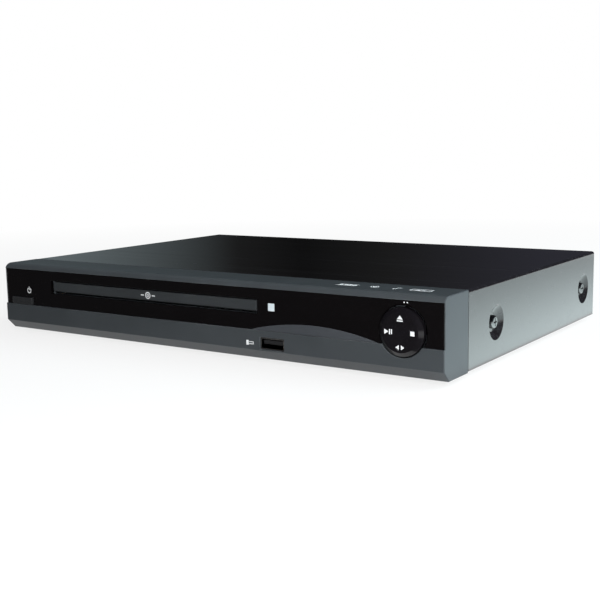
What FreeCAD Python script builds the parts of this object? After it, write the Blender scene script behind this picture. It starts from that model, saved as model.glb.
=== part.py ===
import FreeCAD, Part
import math
import os

from FreeCAD import Vector

# Compact disc player: steel case, moulded front, motorised tray and the loader, boards and sockets inside it.
# Millimetres. X runs to the right seen from the front, Y from the face to the back, Z up from the floor.

# Case
case_height = 36.4
supply_bay = 33.7
board_bay = 93.3
rear_bay = 15.0
foot_drop = 2.6
cut_over = 1.0

# Steel cover
cover_sheet = 0.6
cover_lift = 0.8
cover_fold = 1.4
cover_seam = 0.4
rear_lip = 8.0
rear_lip_gap = 1.0
dimple_radius = 8.2
dimple_floor_radius = 4.6
dimple_depth = 2.4
dimple_front = 53.0
dimple_rear = 17.5
dimple_height = 17.7
dimple_bow_share = 0.66

# Base pan
pan_sheet = 0.8
pan_flange_height = 26.0
pan_lip_depth = 9.0
pan_lip_gap = 0.1
boss_wall = 1.7
vent_width = 2.4
vent_length = 22.0
vent_pitch = 7.0
vent_count = 7
rear_vent_height = 12.0
rear_vent_count = 11
rear_vent_pitch = 7.5

# Rubber feet
foot_radius = 9.0
foot_taper = 1.0
foot_nub_radius = 2.5
foot_nub_gap = 0.2
foot_nub_rise = 1.0
foot_barb = 0.5
foot_side_inset = 25.0
foot_front = 44.0
foot_rear = 31.0

# Screws
screw_radius = 1.4
screw_fit = 0.06
screw_pass_gap = 0.3
screw_head_radius = 3.1
screw_head_height = 1.9
screw_length = 3.8
screw_slot_width = 0.7
screw_slot_depth = 0.9
screw_slot_reach = 1.8

# Front bezel
bezel_depth = 23.0
bezel_wall = 2.0
bezel_chamfer = 4.8
bezel_round = 4.4
bezel_edge_round = 0.5
bezel_lug_width = 12.0
bezel_lug_reach = 10.0
bezel_lug_left = 16.7
bezel_lug_right = 15.0
bezel_lug_middle = 10.0

# Gloss panel in the bezel
panel_foot = 14.2
panel_head_drop = 2.6
panel_recess = 1.0
panel_head_recess = 0.5
panel_sheet = 1.8
panel_side_lip = 0.5
panel_gap = 0.1

# Accent arc on the lower edge of the panel
arc_over = 12.2
arc_rocker_gap = 11.2
arc_rise = 4.6
arc_gap = 0.1
arc_foot_recess = 0.3

# Indicator lens
lens_square = 3.5
lens_door_gap = 8.9
lens_height = 25.3
lens_gap = 0.1

# Tray door and the slot round it
door_over = 0.1
door_height = 5.0
door_centre = 25.4
door_recess = 1.6
door_sheet = 3.0
door_round = 0.4
slot_side_gap = 1.1
slot_top_gap = 0.8
slot_bottom_gap = 1.3

# Tray
tray_side = 8.0
tray_tail = 0.8
tray_slot_gap = 0.4
tray_wall = 2.0
tray_floor = 1.2
disc_radius = 60.0
disc_margin = 0.6
disc_front_margin = 6.8
disc_well_depth = 2.0
small_disc_radius = 40.0
small_well_depth = 0.5
finger_radius = 10.0
finger_inset = 6.6
spindle_slot_half = 20.0
tray_rib = 1.2
tray_rib_drop = 2.0
tray_rib_tail = 19.4
tray_rib_count = 6
tray_clear = 4.8

# Gear teeth
pressure_angle = math.radians(20)
addendum_share = 0.8
dedendum_share = 1.1
flank_relief = 0.06
flank_steps = 4

# Loading gear train
gear_module = 0.8
rack_gear_teeth = 18
wheel_teeth = 32
pinion_teeth = 14
rack_inset = 6.0
gear_ahead = 38.0
gear_end_gap = 0.3
wheel_sheet = 3.5
wheel_drop = 6.6
gear_hub_radius = 4.0
post_radius = 1.5
post_shoulder_radius = 3.0
post_head_gap = 0.4
running_fit = 0.05
pulley_radius = 10.0
pulley_sheet = 4.0
pulley_rise = 1.0
belt_size = 1.4
belt_drop = 0.8
belt_gap = 0.05
motor_pulley_radius = 3.4
motor_offset = 22.0
motor_radius = 10.0
motor_pulley_gap = 0.8
motor_shaft_radius = 1.0
motor_shaft_depth = 6.0

# Loader frame
deck_side = 3.5
deck_wall = 2.2
deck_lift = 1.2
deck_floor = 2.0
deck_front = 18.0
deck_rear_margin = 6.0
guide_gap = 0.3
run_gap = 0.2
rail_reach = 2.6
rail_sheet = 2.0
guide_lip_reach = 1.6
guide_lip_sheet = 1.8
deck_rim = 9.5
deck_bed_ahead = 15.0
ear_width = 6.5
ear_length = 10.0
ear_front = 24.0
ear_back = 14.0

# Traverse lift frame
lift_side = 6.0
lift_width = 9.0
lift_sheet = 3.0
lift_height = 11.4
lift_front_gap = 1.2
lift_back_margin = 10.2
lift_tail = 5.0
lift_angle = 3.2
pivot_radius = 2.0
pivot_length = 5.5
pivot_ear_gap = 0.4
pivot_ear_half = 5.0
pivot_ear_sheet = 7.6
pivot_ear_rise = 4.5
lift_pin_radius = 1.5
lift_pin_height = 17.6
lift_lug_half = 5.0
lift_lug_sheet = 2.0
lift_lug_margin = 2.6

# Cam slider
cam_travel = 9.0
cam_wall = 2.4
cam_foot_depth = 6.0
cam_foot_sheet = 1.8
cam_rise = 14.0
cam_left = 20.0
cam_right = 12.0
cam_slot_gap = 0.25
cam_bed_gap = 0.2
cam_rail_height = 2.0
cam_rail_sheet = 1.4
cam_pin_over = 1.0

# Traverse plate and dampers
plate_sheet = 1.0
plate_inset = 1.0
plate_front_inset = 3.0
plate_tail_inset = 4.0
damper_radius = 4.5
damper_neck = 2.9
damper_neck_gap = 0.1
damper_seat = 2.0
damper_cap = 1.5
damper_front = 8.0
damper_back = 14.0
damper_screw_radius = 1.2
plate_window_left = 11.0
plate_window_right = 6.0
plate_window_front = 11.6
plate_window_margin = 3.0

# Spindle and turntable
spindle_motor_radius = 11.5
turntable_gap = 0.6
turntable_radius = 15.0
turntable_sheet = 2.0
disc_lift = 2.1
hub_radius = 7.4
hub_height = 1.4
hub_cone = 0.8
spindle_radius = 1.0
spindle_depth = 8.0

# Pickup, rods and lead screw
rod_radius = 1.5
rod_inset = 28.0
rod_rise = 2.4
rod_behind = 7.5
clip_half = 2.8
clip_length = 4.9
clip_rise = 5.0
clip_bury = 3.9
pickup_reach = 24.0
disc_edge = 1.0
pickup_inset = 5.0
pickup_front = 12.0
pickup_back = 22.0
pickup_drop = 2.2
pickup_rise = 5.2
pickup_notch_gap = 2.5
arm_reach = 3.5
arm_half = 10.0
arm_rise = 2.6
arm_drop = 2.0
rod_fit = 0.06
lens_half = 8.5
lens_depth_half = 6.5
lens_focus = 0.5
lens_rest_gap = 0.1
lens_block = 5.0
objective_radius = 2.4
objective_rise = 1.0
yoke_half = 6.0
yoke_sheet = 1.8
yoke_gap = 1.2
yoke_rise = 5.0
screw_inset = 16.0
screw_rise = 2.0
lead_radius = 1.5
lead_gap = 0.3
sled_motor_radius = 4.8
sled_motor_length = 17.0
sled_motor_behind = 16.2
sled_tab_sheet = 1.2
sled_tab_half = 5.2
sled_tab_tail = 3.0
sled_window_gap = 0.6
nut_half = 4.0
nut_over = 3.5
nut_rise = 2.8
nut_drop = 2.2
bearing_half = 3.2

# Disc clamp
bridge_sheet = 1.0
bridge_half = 15.0
bridge_rise = 2.4
bridge_foot = 7.0
bridge_screw_inset = 1.9
bridge_hole = 12.0
puck_neck_gap = 1.0
puck_radius = 14.5
puck_sheet = 1.4
puck_gap = 0.8
yoke_radius = 13.5
yoke_plate = 1.0

# Power button and mains switch
button_width = 15.8
button_height = 3.9
button_inset = 13.4
button_gap = 0.2
button_proud = 0.3
button_cap = 4.4
button_travel = 3.0
button_flange = 1.0
button_flange_gap = 0.4
button_flange_sheet = 1.2
button_round = 0.4
stem_size = 3.6
plunger_size = 3.0
plunger_gap = 0.3
plunger_reach = 8.0
plunger_depth = 5.0
switch_half = 5.5
switch_length = 14.0
switch_front = 30.0
switch_rise = 5.0

# Rocker disc
rocker_inset = 19.8
rocker_height = 20.2
rocker_radius = 10.6
rocker_bevel = 1.9
rocker_bevel_depth = 1.4
rocker_dish = 0.5
rocker_face_share = 0.9
rocker_proud = 1.6
rocker_skirt = 2.2
rocker_gap = 0.7
rocker_well_edge = 0.4
rocker_tilt = 2.5
rocker_stem_radius = 2.2
rocker_pivot = 8.4
gimbal_pin = 0.8
gimbal_ring = 1.5
gimbal_gap = 0.5
gimbal_half = 1.3
gimbal_fit = 0.05
gimbal_pin_length = 1.5
gimbal_post = 1.8
gimbal_post_half = 1.8
cup_floor = 1.2
cup_hole_gap = 0.7
rocker_leg_radius = 1.0
rocker_leg_offset = 8.8
rocker_leg_gap = 0.12

# Control board
board_sheet = 1.6
board_front = 15.0
board_slot_gap = 1.0
board_inset = 4.0
board_foot = 6.2
board_head = 35.0
board_boss_radius = 2.4
board_boss_left = 10.4
board_boss_right = 17.2
board_boss_low = 10.6
board_boss_high = 32.4
tact_half = 3.0
tact_height = 3.4
tact_key_radius = 1.6
tact_key_height = 0.6
display_lens_gap = 13.8
display_rocker_gap = 18.2
display_height = 11.0
display_depth = 8.6
display_level = 23.9
display_window_inset = 1.0
receiver_half = 2.9
receiver_depth = 5.0
receiver_dome = 1.6

# USB socket
usb_offset = 0.7
usb_height = 8.3
usb_width = 13.2
usb_tall = 5.4
usb_wall = 0.4
usb_recess = 0.4
usb_gap = 0.2
usb_tongue_width = 11.2
usb_tongue_sheet = 1.8
usb_tongue_drop = 0.9
usb_tongue_recess = 1.2
usb_base = 2.0

# Boards in the case
board_lift = 7.2
main_deck_gap = 8.3
main_inset = 7.0
main_front = 40.0
main_back_gap = 1.0
main_boss_inset = 4.0
main_boss_front = 6.0
main_boss_back = 39.0
chip_half = 12.0
chip_sheet = 1.8
chip_offset = 1.0
chip_back = 98.0
sink_base = 2.0
sink_fin = 1.2
sink_height = 8.0
sink_fin_count = 6
cap_radius = 3.2
cap_height = 9.0
cap_pitch = 10.0
cap_count = 4
cap_row = 60.0
cap_bead = 0.5
cable_width = 16.0
cable_sheet = 0.4
cable_height = 19.0
cable_bend = 9.0
cable_run = 6.0

# Power supply
supply_inset = 4.5
supply_deck_gap = 2.2
supply_front = 26.0
supply_rear = 7.0
supply_boss_left = 4.0
supply_boss_right = 8.0
supply_boss_front = 52.0
supply_boss_behind = 12.0
transformer_offset = 4.0
transformer_inset = 3.5
transformer_length = 11.0
transformer_height = 17.0
winding_inset = 2.4
winding_over = 2.2
bulk_radius = 6.2
bulk_height = 20.0
bulk_ahead = 32.0
output_radius = 4.0
output_height = 12.0
output_behind = 30.0
output_pitch = 10.0

# Rear sockets
hdmi_inset = 9.0
hdmi_width = 15.0
hdmi_tall = 5.6
hdmi_depth = 12.0
hdmi_wall = 0.4
hdmi_proud = 0.6
hdmi_gap = 0.3
hdmi_tongue_width = 11.0
hdmi_tongue_sheet = 1.2
hdmi_tongue_recess = 1.5
jack_inset = 11.0
jack_pitch = 13.0
jack_count = 3
jack_rise = 9.0
jack_radius = 4.2
jack_wall = 0.6
jack_seat = 0.3
jack_relief = 0.3
jack_core_recess = 0.8
jack_pin_bore = 1.7
jack_reach = 9.0
jack_ring_radius = 5.4
jack_ring_gap = 0.2
jack_ring_reach = 2.0
jack_block_depth = 11.0
jack_block_margin = 6.6
jack_block_head = 7.0
inlet_half = 10.5
inlet_rise = 7.5
inlet_half_height = 7.0
inlet_depth = 15.0
inlet_proud = 1.6
inlet_gap = 0.3
inlet_lobe = 4.4
inlet_lobe_offset = 3.7
inlet_well = 11.0
pin_radius = 1.2
pin_offset = 4.3
pin_recess = 1.5

# Levels that follow from the sizes above
case_top = foot_drop + case_height
pan_low = foot_drop + cover_lift
pan_top = pan_low + pan_sheet
panel_low = foot_drop + panel_foot
panel_high = case_top - panel_head_drop
panel_back = panel_recess + panel_sheet
bezel_inside = panel_back + bezel_wall

# The disc sets the tray, the tray sets the deck, and the deck with the bays round it sets the case
tray_half = disc_radius + tray_side
door_width = 2 * (tray_half + door_over)
deck_half = tray_half + deck_side
case_width = supply_bay + 2 * deck_half + board_bay
half_width = case_width / 2
tray_axis = supply_bay + deck_half - half_width
slot_half = door_width / 2 + slot_side_gap
well_radius = disc_radius + disc_margin
tray_front = door_recess + door_sheet
tray_travel = 2 * well_radius + tray_clear
spindle_y = tray_front + disc_front_margin + well_radius
gear_back = spindle_y - gear_ahead
rack_gear_radius = gear_module * rack_gear_teeth / 2
tray_rear = gear_back + tray_travel + rack_gear_radius + tray_tail
deck_rear = tray_rear + deck_rear_margin
case_depth = deck_rear + rear_bay
rear_face = case_depth - cover_sheet
rear_inside = rear_face - pan_sheet
cover_front = bezel_depth + cover_seam
flange_face = half_width - dimple_depth - cover_sheet
depth_middle = (rear_face + jack_reach - rocker_proud) / 2

# Tray and gear train
door_low = foot_drop + door_centre - door_height / 2
slot_low = door_low - slot_bottom_gap
slot_high = door_low + door_height + slot_top_gap
tray_low = slot_low + tray_slot_gap
tray_high = slot_high - tray_slot_gap
well_floor = tray_high - disc_well_depth
tray_under = well_floor - tray_floor
rack_line = -tray_half + rack_inset
wheel_radius = gear_module * wheel_teeth / 2
pinion_radius = gear_module * pinion_teeth / 2
gear_x = rack_line + rack_gear_radius
pulley_x = gear_x + wheel_radius + pinion_radius
gear_low = tray_low + gear_end_gap
gear_high = tray_under - gear_end_gap
wheel_high = tray_low - wheel_drop
wheel_low = wheel_high - wheel_sheet
pulley_low = wheel_high + pulley_rise
pulley_high = pulley_low + pulley_sheet
belt_level = (pulley_low + pulley_high) / 2
pulley_groove = pulley_radius - belt_drop
motor_groove = motor_pulley_radius - belt_drop

# Loader frame
deck_low = pan_top + deck_lift
deck_top = deck_low + deck_floor
deck_bed = spindle_y - deck_bed_ahead
ear_places = (ear_front, deck_rear - ear_back)
guide_face = tray_half + guide_gap
rail_high = tray_low - run_gap
guide_lip_low = tray_high + run_gap
guide_lip_high = guide_lip_low + guide_lip_sheet
motor_high = pulley_low - motor_pulley_gap

# Traverse
lift_half = deck_half - deck_rim - lift_side
rod_half = lift_half - rod_inset
screw_offset = lift_half - screw_inset
pickup_half = rod_half - pickup_inset
pickup_travel = disc_radius - disc_edge - pickup_reach
rod_front = spindle_y + rod_behind
sled_motor_back = spindle_y + sled_motor_behind
lift_front = deck_bed + lift_front_gap
lens_y = spindle_y + pickup_reach
plate_window_rear = lens_y + pickup_back + pickup_travel + plate_window_margin
rod_length = plate_window_rear + clip_bury - rod_front
lift_rear = plate_window_rear + lift_back_margin
lift_high = lift_height + lift_sheet
pivot_y = lift_rear - lift_tail
pivot_z = lift_height + lift_sheet / 2
cam_back = deck_bed - cam_rail_sheet - cam_bed_gap
cam_middle = cam_back - cam_foot_depth / 2
cam_low = deck_top + run_gap / 2
cam_drop = (pivot_y - cam_middle) * math.sin(math.radians(lift_angle))
plate_low = lift_high + damper_seat
plate_high = plate_low + plate_sheet
seat_level = well_floor + disc_lift
turntable_low = seat_level - turntable_sheet
motor_crown = turntable_low - turntable_gap
rod_z = plate_high + rod_rise
pickup_low = plate_low - pickup_drop
pickup_high = plate_high + pickup_rise
lens_low = pickup_high + lens_focus + lens_rest_gap
lead_z = plate_high + screw_rise

# Disc clamp
bridge_low = guide_lip_high + bridge_rise
bridge_high = bridge_low + bridge_sheet
hub_high = seat_level + hub_height
puck_low = hub_high + puck_gap
puck_neck = bridge_hole - puck_neck_gap

# Front
button_centre = button_inset - half_width
button_low = panel_low + button_gap
button_z = button_low + button_height / 2
button_back = button_cap - button_proud
rocker_centre = half_width - rocker_inset
rocker_z = foot_drop + rocker_height
rocker_well = rocker_radius + rocker_gap
gimbal_inner = rocker_stem_radius + gimbal_gap
gimbal_outer = gimbal_inner + gimbal_ring
post_inner = gimbal_outer + gimbal_gap
lens_centre = tray_axis + door_width / 2 + lens_door_gap
arc_left = lens_centre - arc_over
arc_right = rocker_centre - arc_rocker_gap
board_left = tray_axis + slot_half + board_slot_gap
board_right = half_width - board_inset
board_back = board_front + board_sheet
tact_face = board_front - tact_height
display_left = lens_centre + display_lens_gap
display_right = rocker_centre - display_rocker_gap
usb_centre = lens_centre + usb_offset
usb_z = foot_drop + usb_height

# Boards and rear sockets
case_board_low = pan_top + board_lift
case_board_high = case_board_low + board_sheet
main_left = tray_axis + deck_half + main_deck_gap
main_right = half_width - main_inset
main_back = rear_inside - main_back_gap
chip_centre = (main_left + main_right) / 2 - chip_offset
supply_left = supply_inset - half_width
supply_right = tray_axis - deck_half - supply_deck_gap
supply_centre = (supply_left + supply_right) / 2
supply_back = case_depth - supply_rear
transformer_back = (supply_front + supply_back) / 2 + transformer_offset
bulk_back = transformer_back - bulk_ahead
output_back = transformer_back + output_behind
transformer_half = (supply_right - supply_left) / 2 - transformer_inset
hdmi_centre = main_left + hdmi_inset
jack_last = main_right - jack_inset
jack_first = jack_last - jack_pitch * (jack_count - 1)
jack_z = case_board_high + jack_rise
inlet_z = case_board_high + inlet_rise

# Screw holes
dimple_z = foot_drop + dimple_height
screw_hole = screw_radius + screw_fit
screw_pass = screw_radius + screw_pass_gap

axes = {"x": Vector(1, 0, 0), "y": Vector(0, 1, 0), "z": Vector(0, 0, 1)}


# Shared shapes
def place(axis, along, u, v):
    if axis == "x":
        return Vector(along, u, v)
    if axis == "y":
        return Vector(u, along, v)
    return Vector(u, v, along)


def block(x0, x1, y0, y1, z0, z1):
    return Part.makeBox(x1 - x0, y1 - y0, z1 - z0, Vector(x0, y0, z0))


def rod(axis, radius, start, end, u, v):
    return Part.makeCylinder(radius, end - start, place(axis, start, u, v), axes[axis])


def prism(axis, start, end, outline):
    corners = [place(axis, start, u, v) for u, v in outline]
    face = Part.Face(Part.makePolygon(corners + corners[:1]))
    return face.extrude(axes[axis] * (end - start))


def lathe(axis, u, v, outline):
    """Turned solid: outline holds (radius, place along the axis) corners."""
    corners = [place(axis, along, u + radius, v) for radius, along in outline]
    face = Part.Face(Part.makePolygon(corners + corners[:1]))
    return face.revolve(place(axis, 0, u, v), axes[axis], 360)


def join(first, *rest):
    return first.multiFuse(list(rest)).removeSplitter()


def carve(shape, *tools):
    return shape.cut(list(tools))


def group(shapes):
    return Part.makeCompound(list(shapes))


def both_sides(shape):
    return [shape, shape.mirror(Vector(0, 0, 0), axes["x"])]


def screw(direction, seat, slotted):
    """Pan head screw whose head sits on seat and whose shank runs along direction."""
    head = rod("z", screw_head_radius, 0, screw_head_height, 0, 0)
    rim = [edge for edge in head.Edges if edge.BoundBox.ZMin > 0 and edge.Closed]
    head = head.makeFillet(screw_head_height / 2, rim)
    shape = join(head, rod("z", screw_radius, -screw_length, 0, 0, 0))
    if slotted:
        half = screw_slot_width / 2
        low = screw_head_height - screw_slot_depth
        high = screw_head_height + cut_over
        for turn in (0, 90):
            slot = block(-screw_slot_reach, screw_slot_reach, -half, half, low, high)
            slot.rotate(Vector(0, 0, 0), axes["z"], turn)
            shape = carve(shape, slot)
    turn = FreeCAD.Rotation(-axes["z"], direction)
    shape.Placement = FreeCAD.Placement(seat, turn)
    return shape


def involute(angle):
    return math.tan(angle) - angle


def gear(module, teeth, phase, z0, z1, x, y):
    """Spur gear blank with involute flanks; phase is the angle of one tooth's middle."""
    pitch = module * teeth / 2
    base = pitch * math.cos(pressure_angle)
    tip = pitch + addendum_share * module
    root = pitch - dedendum_share * module
    start = max(base, root)
    half = math.pi / (2 * teeth) - flank_relief / pitch + involute(pressure_angle)
    flank = []
    for step in range(flank_steps + 1):
        radius = start + (tip - start) * step / flank_steps
        flank.append((radius, half - involute(math.acos(base / radius))))
    if root < base:
        flank.insert(0, (root, flank[0][1]))
    outline = []
    for tooth in range(teeth):
        middle = phase + 2 * math.pi * tooth / teeth
        rising = [(radius, middle - width) for radius, width in flank]
        falling = [(radius, middle + width) for radius, width in reversed(flank)]
        for radius, angle in rising + falling:
            outline.append((x + radius * math.cos(angle), y + radius * math.sin(angle)))
    return prism("z", z0, z1, outline)


# Case pieces
def make_base_pan():
    floor = block(-flange_face, flange_face, cover_front, rear_face, pan_low, pan_top)
    flange = block(flange_face - pan_sheet, flange_face, cover_front, rear_face, pan_low,
                   pan_low + pan_flange_height)
    lip_high = case_top - cover_sheet - pan_lip_gap
    wall = block(-flange_face, flange_face, rear_inside, rear_face, pan_low, lip_high)
    lip = block(-flange_face, flange_face, rear_face - pan_lip_depth, rear_face, lip_high - pan_sheet,
                lip_high)
    bosses = [rod("z", screw_hole + boss_wall, pan_top, high, x, y) for x, y, high in boss_places()]
    pan = join(floor, wall, lip, *both_sides(flange), *bosses)
    tools = [rod("z", screw_hole, pan_low - cut_over, high + cut_over, x, y) for x, y,
             high in boss_places()]
    tools += [rod("z", screw_pass, pan_low - cut_over, pan_top + cut_over, x, y) for x, y in lug_places()]
    for x, y in foot_places():
        tools.append(rod("z", foot_nub_radius + foot_nub_gap, pan_low - cut_over, pan_top + cut_over, x, y))
    for y in dimple_places():
        tools.append(rod("x", screw_hole, -half_width, half_width, y, dimple_z))
    for x, z in rear_screw_places():
        tools.append(rod("y", screw_hole, rear_inside - cut_over, rear_face + cut_over, x, z))
    tools += rear_openings()
    tools += floor_vents()
    return carve(pan, *tools)


def boss_places():
    """Bosses raised from the pan: (x, y, top)."""
    deck = [(tray_axis + side * (deck_half + ear_width / 2), y + ear_length / 2, deck_low)
            for side in (-1, 1) for y in ear_places]
    main = [(x, y, case_board_low)
            for x in (main_left + main_boss_inset, main_right - main_boss_inset)
            for y in (main_front + main_boss_front, case_depth - main_boss_back)]
    supply = [(x, y, case_board_low)
              for x in (supply_left + supply_boss_left, supply_right - supply_boss_right)
              for y in (supply_boss_front, output_back + supply_boss_behind)]
    return deck + main + supply


def lug_places():
    y = bezel_depth + bezel_lug_reach / 2
    return [(x, y) for x in (supply_bay - bezel_lug_left - half_width, main_left + bezel_lug_middle,
                             half_width - bezel_lug_right)]


def foot_places():
    side = half_width - foot_side_inset
    return [(x, y) for x in (-side, side) for y in (foot_front, case_depth - foot_rear)]


def dimple_places():
    return [dimple_front, case_depth - dimple_rear]


def rear_screw_places():
    return [(x, case_top - rear_lip / 2) for x in (-flange_face / 2, 0, flange_face / 2)]


def rear_openings():
    """Holes in the rear wall for the sockets, and a row of upright vents."""
    y0 = rear_inside - cut_over
    y1 = rear_face + cut_over
    hdmi_half = hdmi_width / 2 + hdmi_gap
    hdmi_high = case_board_high + hdmi_tall + hdmi_gap
    tools = [block(hdmi_centre - hdmi_half, hdmi_centre + hdmi_half, y0, y1, case_board_high - hdmi_gap,
                   hdmi_high)]
    for x in jack_places():
        tools.append(rod("y", jack_ring_radius + jack_ring_gap, y0, y1, x, jack_z))
    side = inlet_half + inlet_gap
    rise = inlet_half_height + inlet_gap
    tools.append(block(supply_centre - side, supply_centre + side, y0, y1, inlet_z - rise, inlet_z + rise))
    for number in range(rear_vent_count):
        x = tray_axis + (number - (rear_vent_count - 1) / 2) * rear_vent_pitch
        tools.append(upright_slot(x, y0, y1))
    return tools


def upright_slot(x, y0, y1):
    half = vent_width / 2
    low = (pan_top + case_top) / 2 - rear_vent_height / 2
    high = low + rear_vent_height
    return join(block(x - half, x + half, y0, y1, low, high), rod("y", half, y0, y1, x, low),
                rod("y", half, y0, y1, x, high))


def floor_vents():
    """Two rows of slots in the floor, under the power supply and under the main board."""
    tools = []
    half = vent_length / 2
    for x, y in ((supply_centre, transformer_back), (chip_centre, chip_back)):
        for number in range(vent_count):
            middle = y + (number - (vent_count - 1) / 2) * vent_pitch
            tools.append(block(x - half, x + half, middle - vent_width / 2, middle + vent_width / 2,
                               pan_low - cut_over, pan_top + cut_over))
    return tools


def jack_places():
    return [jack_first + jack_pitch * number for number in range(jack_count)]


def folded_shell(inset, y0, y1):
    """Solid under the folded cover: flat top, two rounded long edges, straight sides."""
    side = half_width - inset
    high = case_top - inset
    shape = block(-side, side, y0, y1, pan_low, high)
    edges = [edge for edge in shape.Edges
             if edge.BoundBox.ZMin > high - cut_over and edge.BoundBox.YLength > cut_over]
    return shape.makeFillet(cover_fold - inset, edges)


def make_top_cover():
    shell = folded_shell(0, cover_front, case_depth)
    hollow = folded_shell(cover_sheet, cover_front - cut_over, rear_face)
    inside = half_width - cover_sheet
    behind = block(-inside, inside, rear_face - cut_over, case_depth + cut_over, pan_low - cut_over,
                   case_top - rear_lip)
    corner = block(inside - rear_lip_gap, inside, rear_face, case_depth + cut_over,
                   case_top - rear_lip - cut_over,
                   case_top - cover_fold)
    cover = carve(shell, hollow, behind, *both_sides(corner))
    wells = []
    dishes = []
    for y in dimple_places():
        wells.append(rod("x", dimple_radius, -half_width - cut_over, half_width + cut_over, y, dimple_z))
        dishes += both_sides(dimple(y))
    holes = [rod("y", screw_pass, rear_face - cut_over, case_depth + cut_over, x, z) for x,
             z in rear_screw_places()]
    return join(carve(cover, *wells, *holes), *dishes)


def dimple(y):
    """Pressed bowl in the right side wall, with a flat floor for the screw."""
    floor = half_width - dimple_depth
    middle = y + (dimple_radius + dimple_floor_radius) / 2
    rim = Vector(half_width, y + dimple_radius, dimple_z)
    bow = Vector(half_width - dimple_depth * dimple_bow_share, middle, dimple_z)
    corner = Vector(floor, y + dimple_floor_radius, dimple_z)
    hole = Vector(floor, y + screw_pass, dimple_z)
    sheet = Vector(-cover_sheet, 0, 0)
    outer = Part.Arc(rim, bow, corner).toShape()
    inner = Part.Arc(corner + sheet, bow + sheet, rim + sheet).toShape()
    edges = [outer, Part.makeLine(corner, hole), Part.makeLine(hole, hole + sheet),
             Part.makeLine(hole + sheet, corner + sheet), inner, Part.makeLine(rim + sheet, rim)]
    return Part.Face(Part.Wire(edges)).revolve(Vector(0, y, dimple_z), axes["x"], 360)


def make_feet():
    feet = []
    barb = foot_nub_radius + foot_barb
    for x, y in foot_places():
        feet.append(lathe("z", x, y, [
            (0, 0), (foot_radius - foot_taper, 0), (foot_radius, foot_taper), (foot_radius, pan_low),
            (foot_nub_radius, pan_low), (foot_nub_radius, pan_top), (barb, pan_top),
            (foot_nub_radius, pan_top + foot_nub_rise), (0, pan_top + foot_nub_rise)]))
    return group(feet)


def make_cover_screws():
    floor = half_width - dimple_depth
    screws = []
    for y in dimple_places():
        screws.append(screw(Vector(-1, 0, 0), Vector(floor, y, dimple_z), True))
        screws.append(screw(Vector(1, 0, 0), Vector(-floor, y, dimple_z), True))
    for x, z in rear_screw_places():
        screws.append(screw(Vector(0, -1, 0), Vector(x, case_depth, z), True))
    return group(screws)


def make_internal_screws():
    down = Vector(0, 0, -1)
    screws = []
    for x, y, high in boss_places():
        seat = deck_top if high == deck_low else case_board_high
        screws.append(screw(down, Vector(x, y, seat), False))
    for x, y in lug_places():
        screws.append(screw(Vector(0, 0, 1), Vector(x, y, pan_low), False))
    for x, z in board_boss_places():
        screws.append(screw(Vector(0, -1, 0), Vector(x, board_back, z), False))
    for side in (-1, 1):
        screws.append(screw(down, Vector(tray_axis + side * bridge_screw(), spindle_y,
                                         guide_lip_high + bridge_sheet), False))
    return group(screws)


def bridge_screw():
    return deck_half - bridge_screw_inset


# Front pieces
def front_cuts(back):
    """Openings that pass through the gloss panel and the bezel wall behind it."""
    x0 = tray_axis - slot_half
    x1 = tray_axis + slot_half
    half = button_width / 2 + button_gap
    square = lens_square / 2 + lens_gap
    lens_z = foot_drop + lens_height
    return [block(x0, x1, -cut_over, back, slot_low, slot_high),
            block(button_centre - half, button_centre + half, panel_recess - cut_over, back, panel_low,
                  button_low + button_height + button_gap),
            rod("y", rocker_well, -cut_over, back, rocker_centre, rocker_z),
            block(lens_centre - square, lens_centre + square, -cut_over, back, lens_z - square,
                  lens_z + square)]


def board_boss_places():
    left = lens_centre + board_boss_left
    return [(left, board_boss_low), (left, board_boss_high),
            (rocker_centre - board_boss_right, board_boss_low)]


def rocker_cup():
    """Floor of the rocker well with two posts for the gimbal pins, and holes for the stem and legs."""
    back = bezel_inside + cup_floor
    floor = rod("y", rocker_well + bezel_wall, bezel_inside, back, rocker_centre, rocker_z)
    posts = []
    for side in (-1, 1):
        near = rocker_z + side * post_inner
        far = near + side * gimbal_post
        posts.append(block(rocker_centre - gimbal_post_half, rocker_centre + gimbal_post_half, bezel_inside,
                           rocker_pivot + gimbal_half, min(near, far), max(near, far)))
    holes = [rod("y", rocker_stem_radius + cup_hole_gap, 0, back + cut_over, rocker_centre, rocker_z)]
    holes += [rod("y", rocker_leg_radius + cup_hole_gap, 0, back, x, z) for x, z in leg_places()]
    return join(carve(floor, *holes), *posts)


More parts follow.
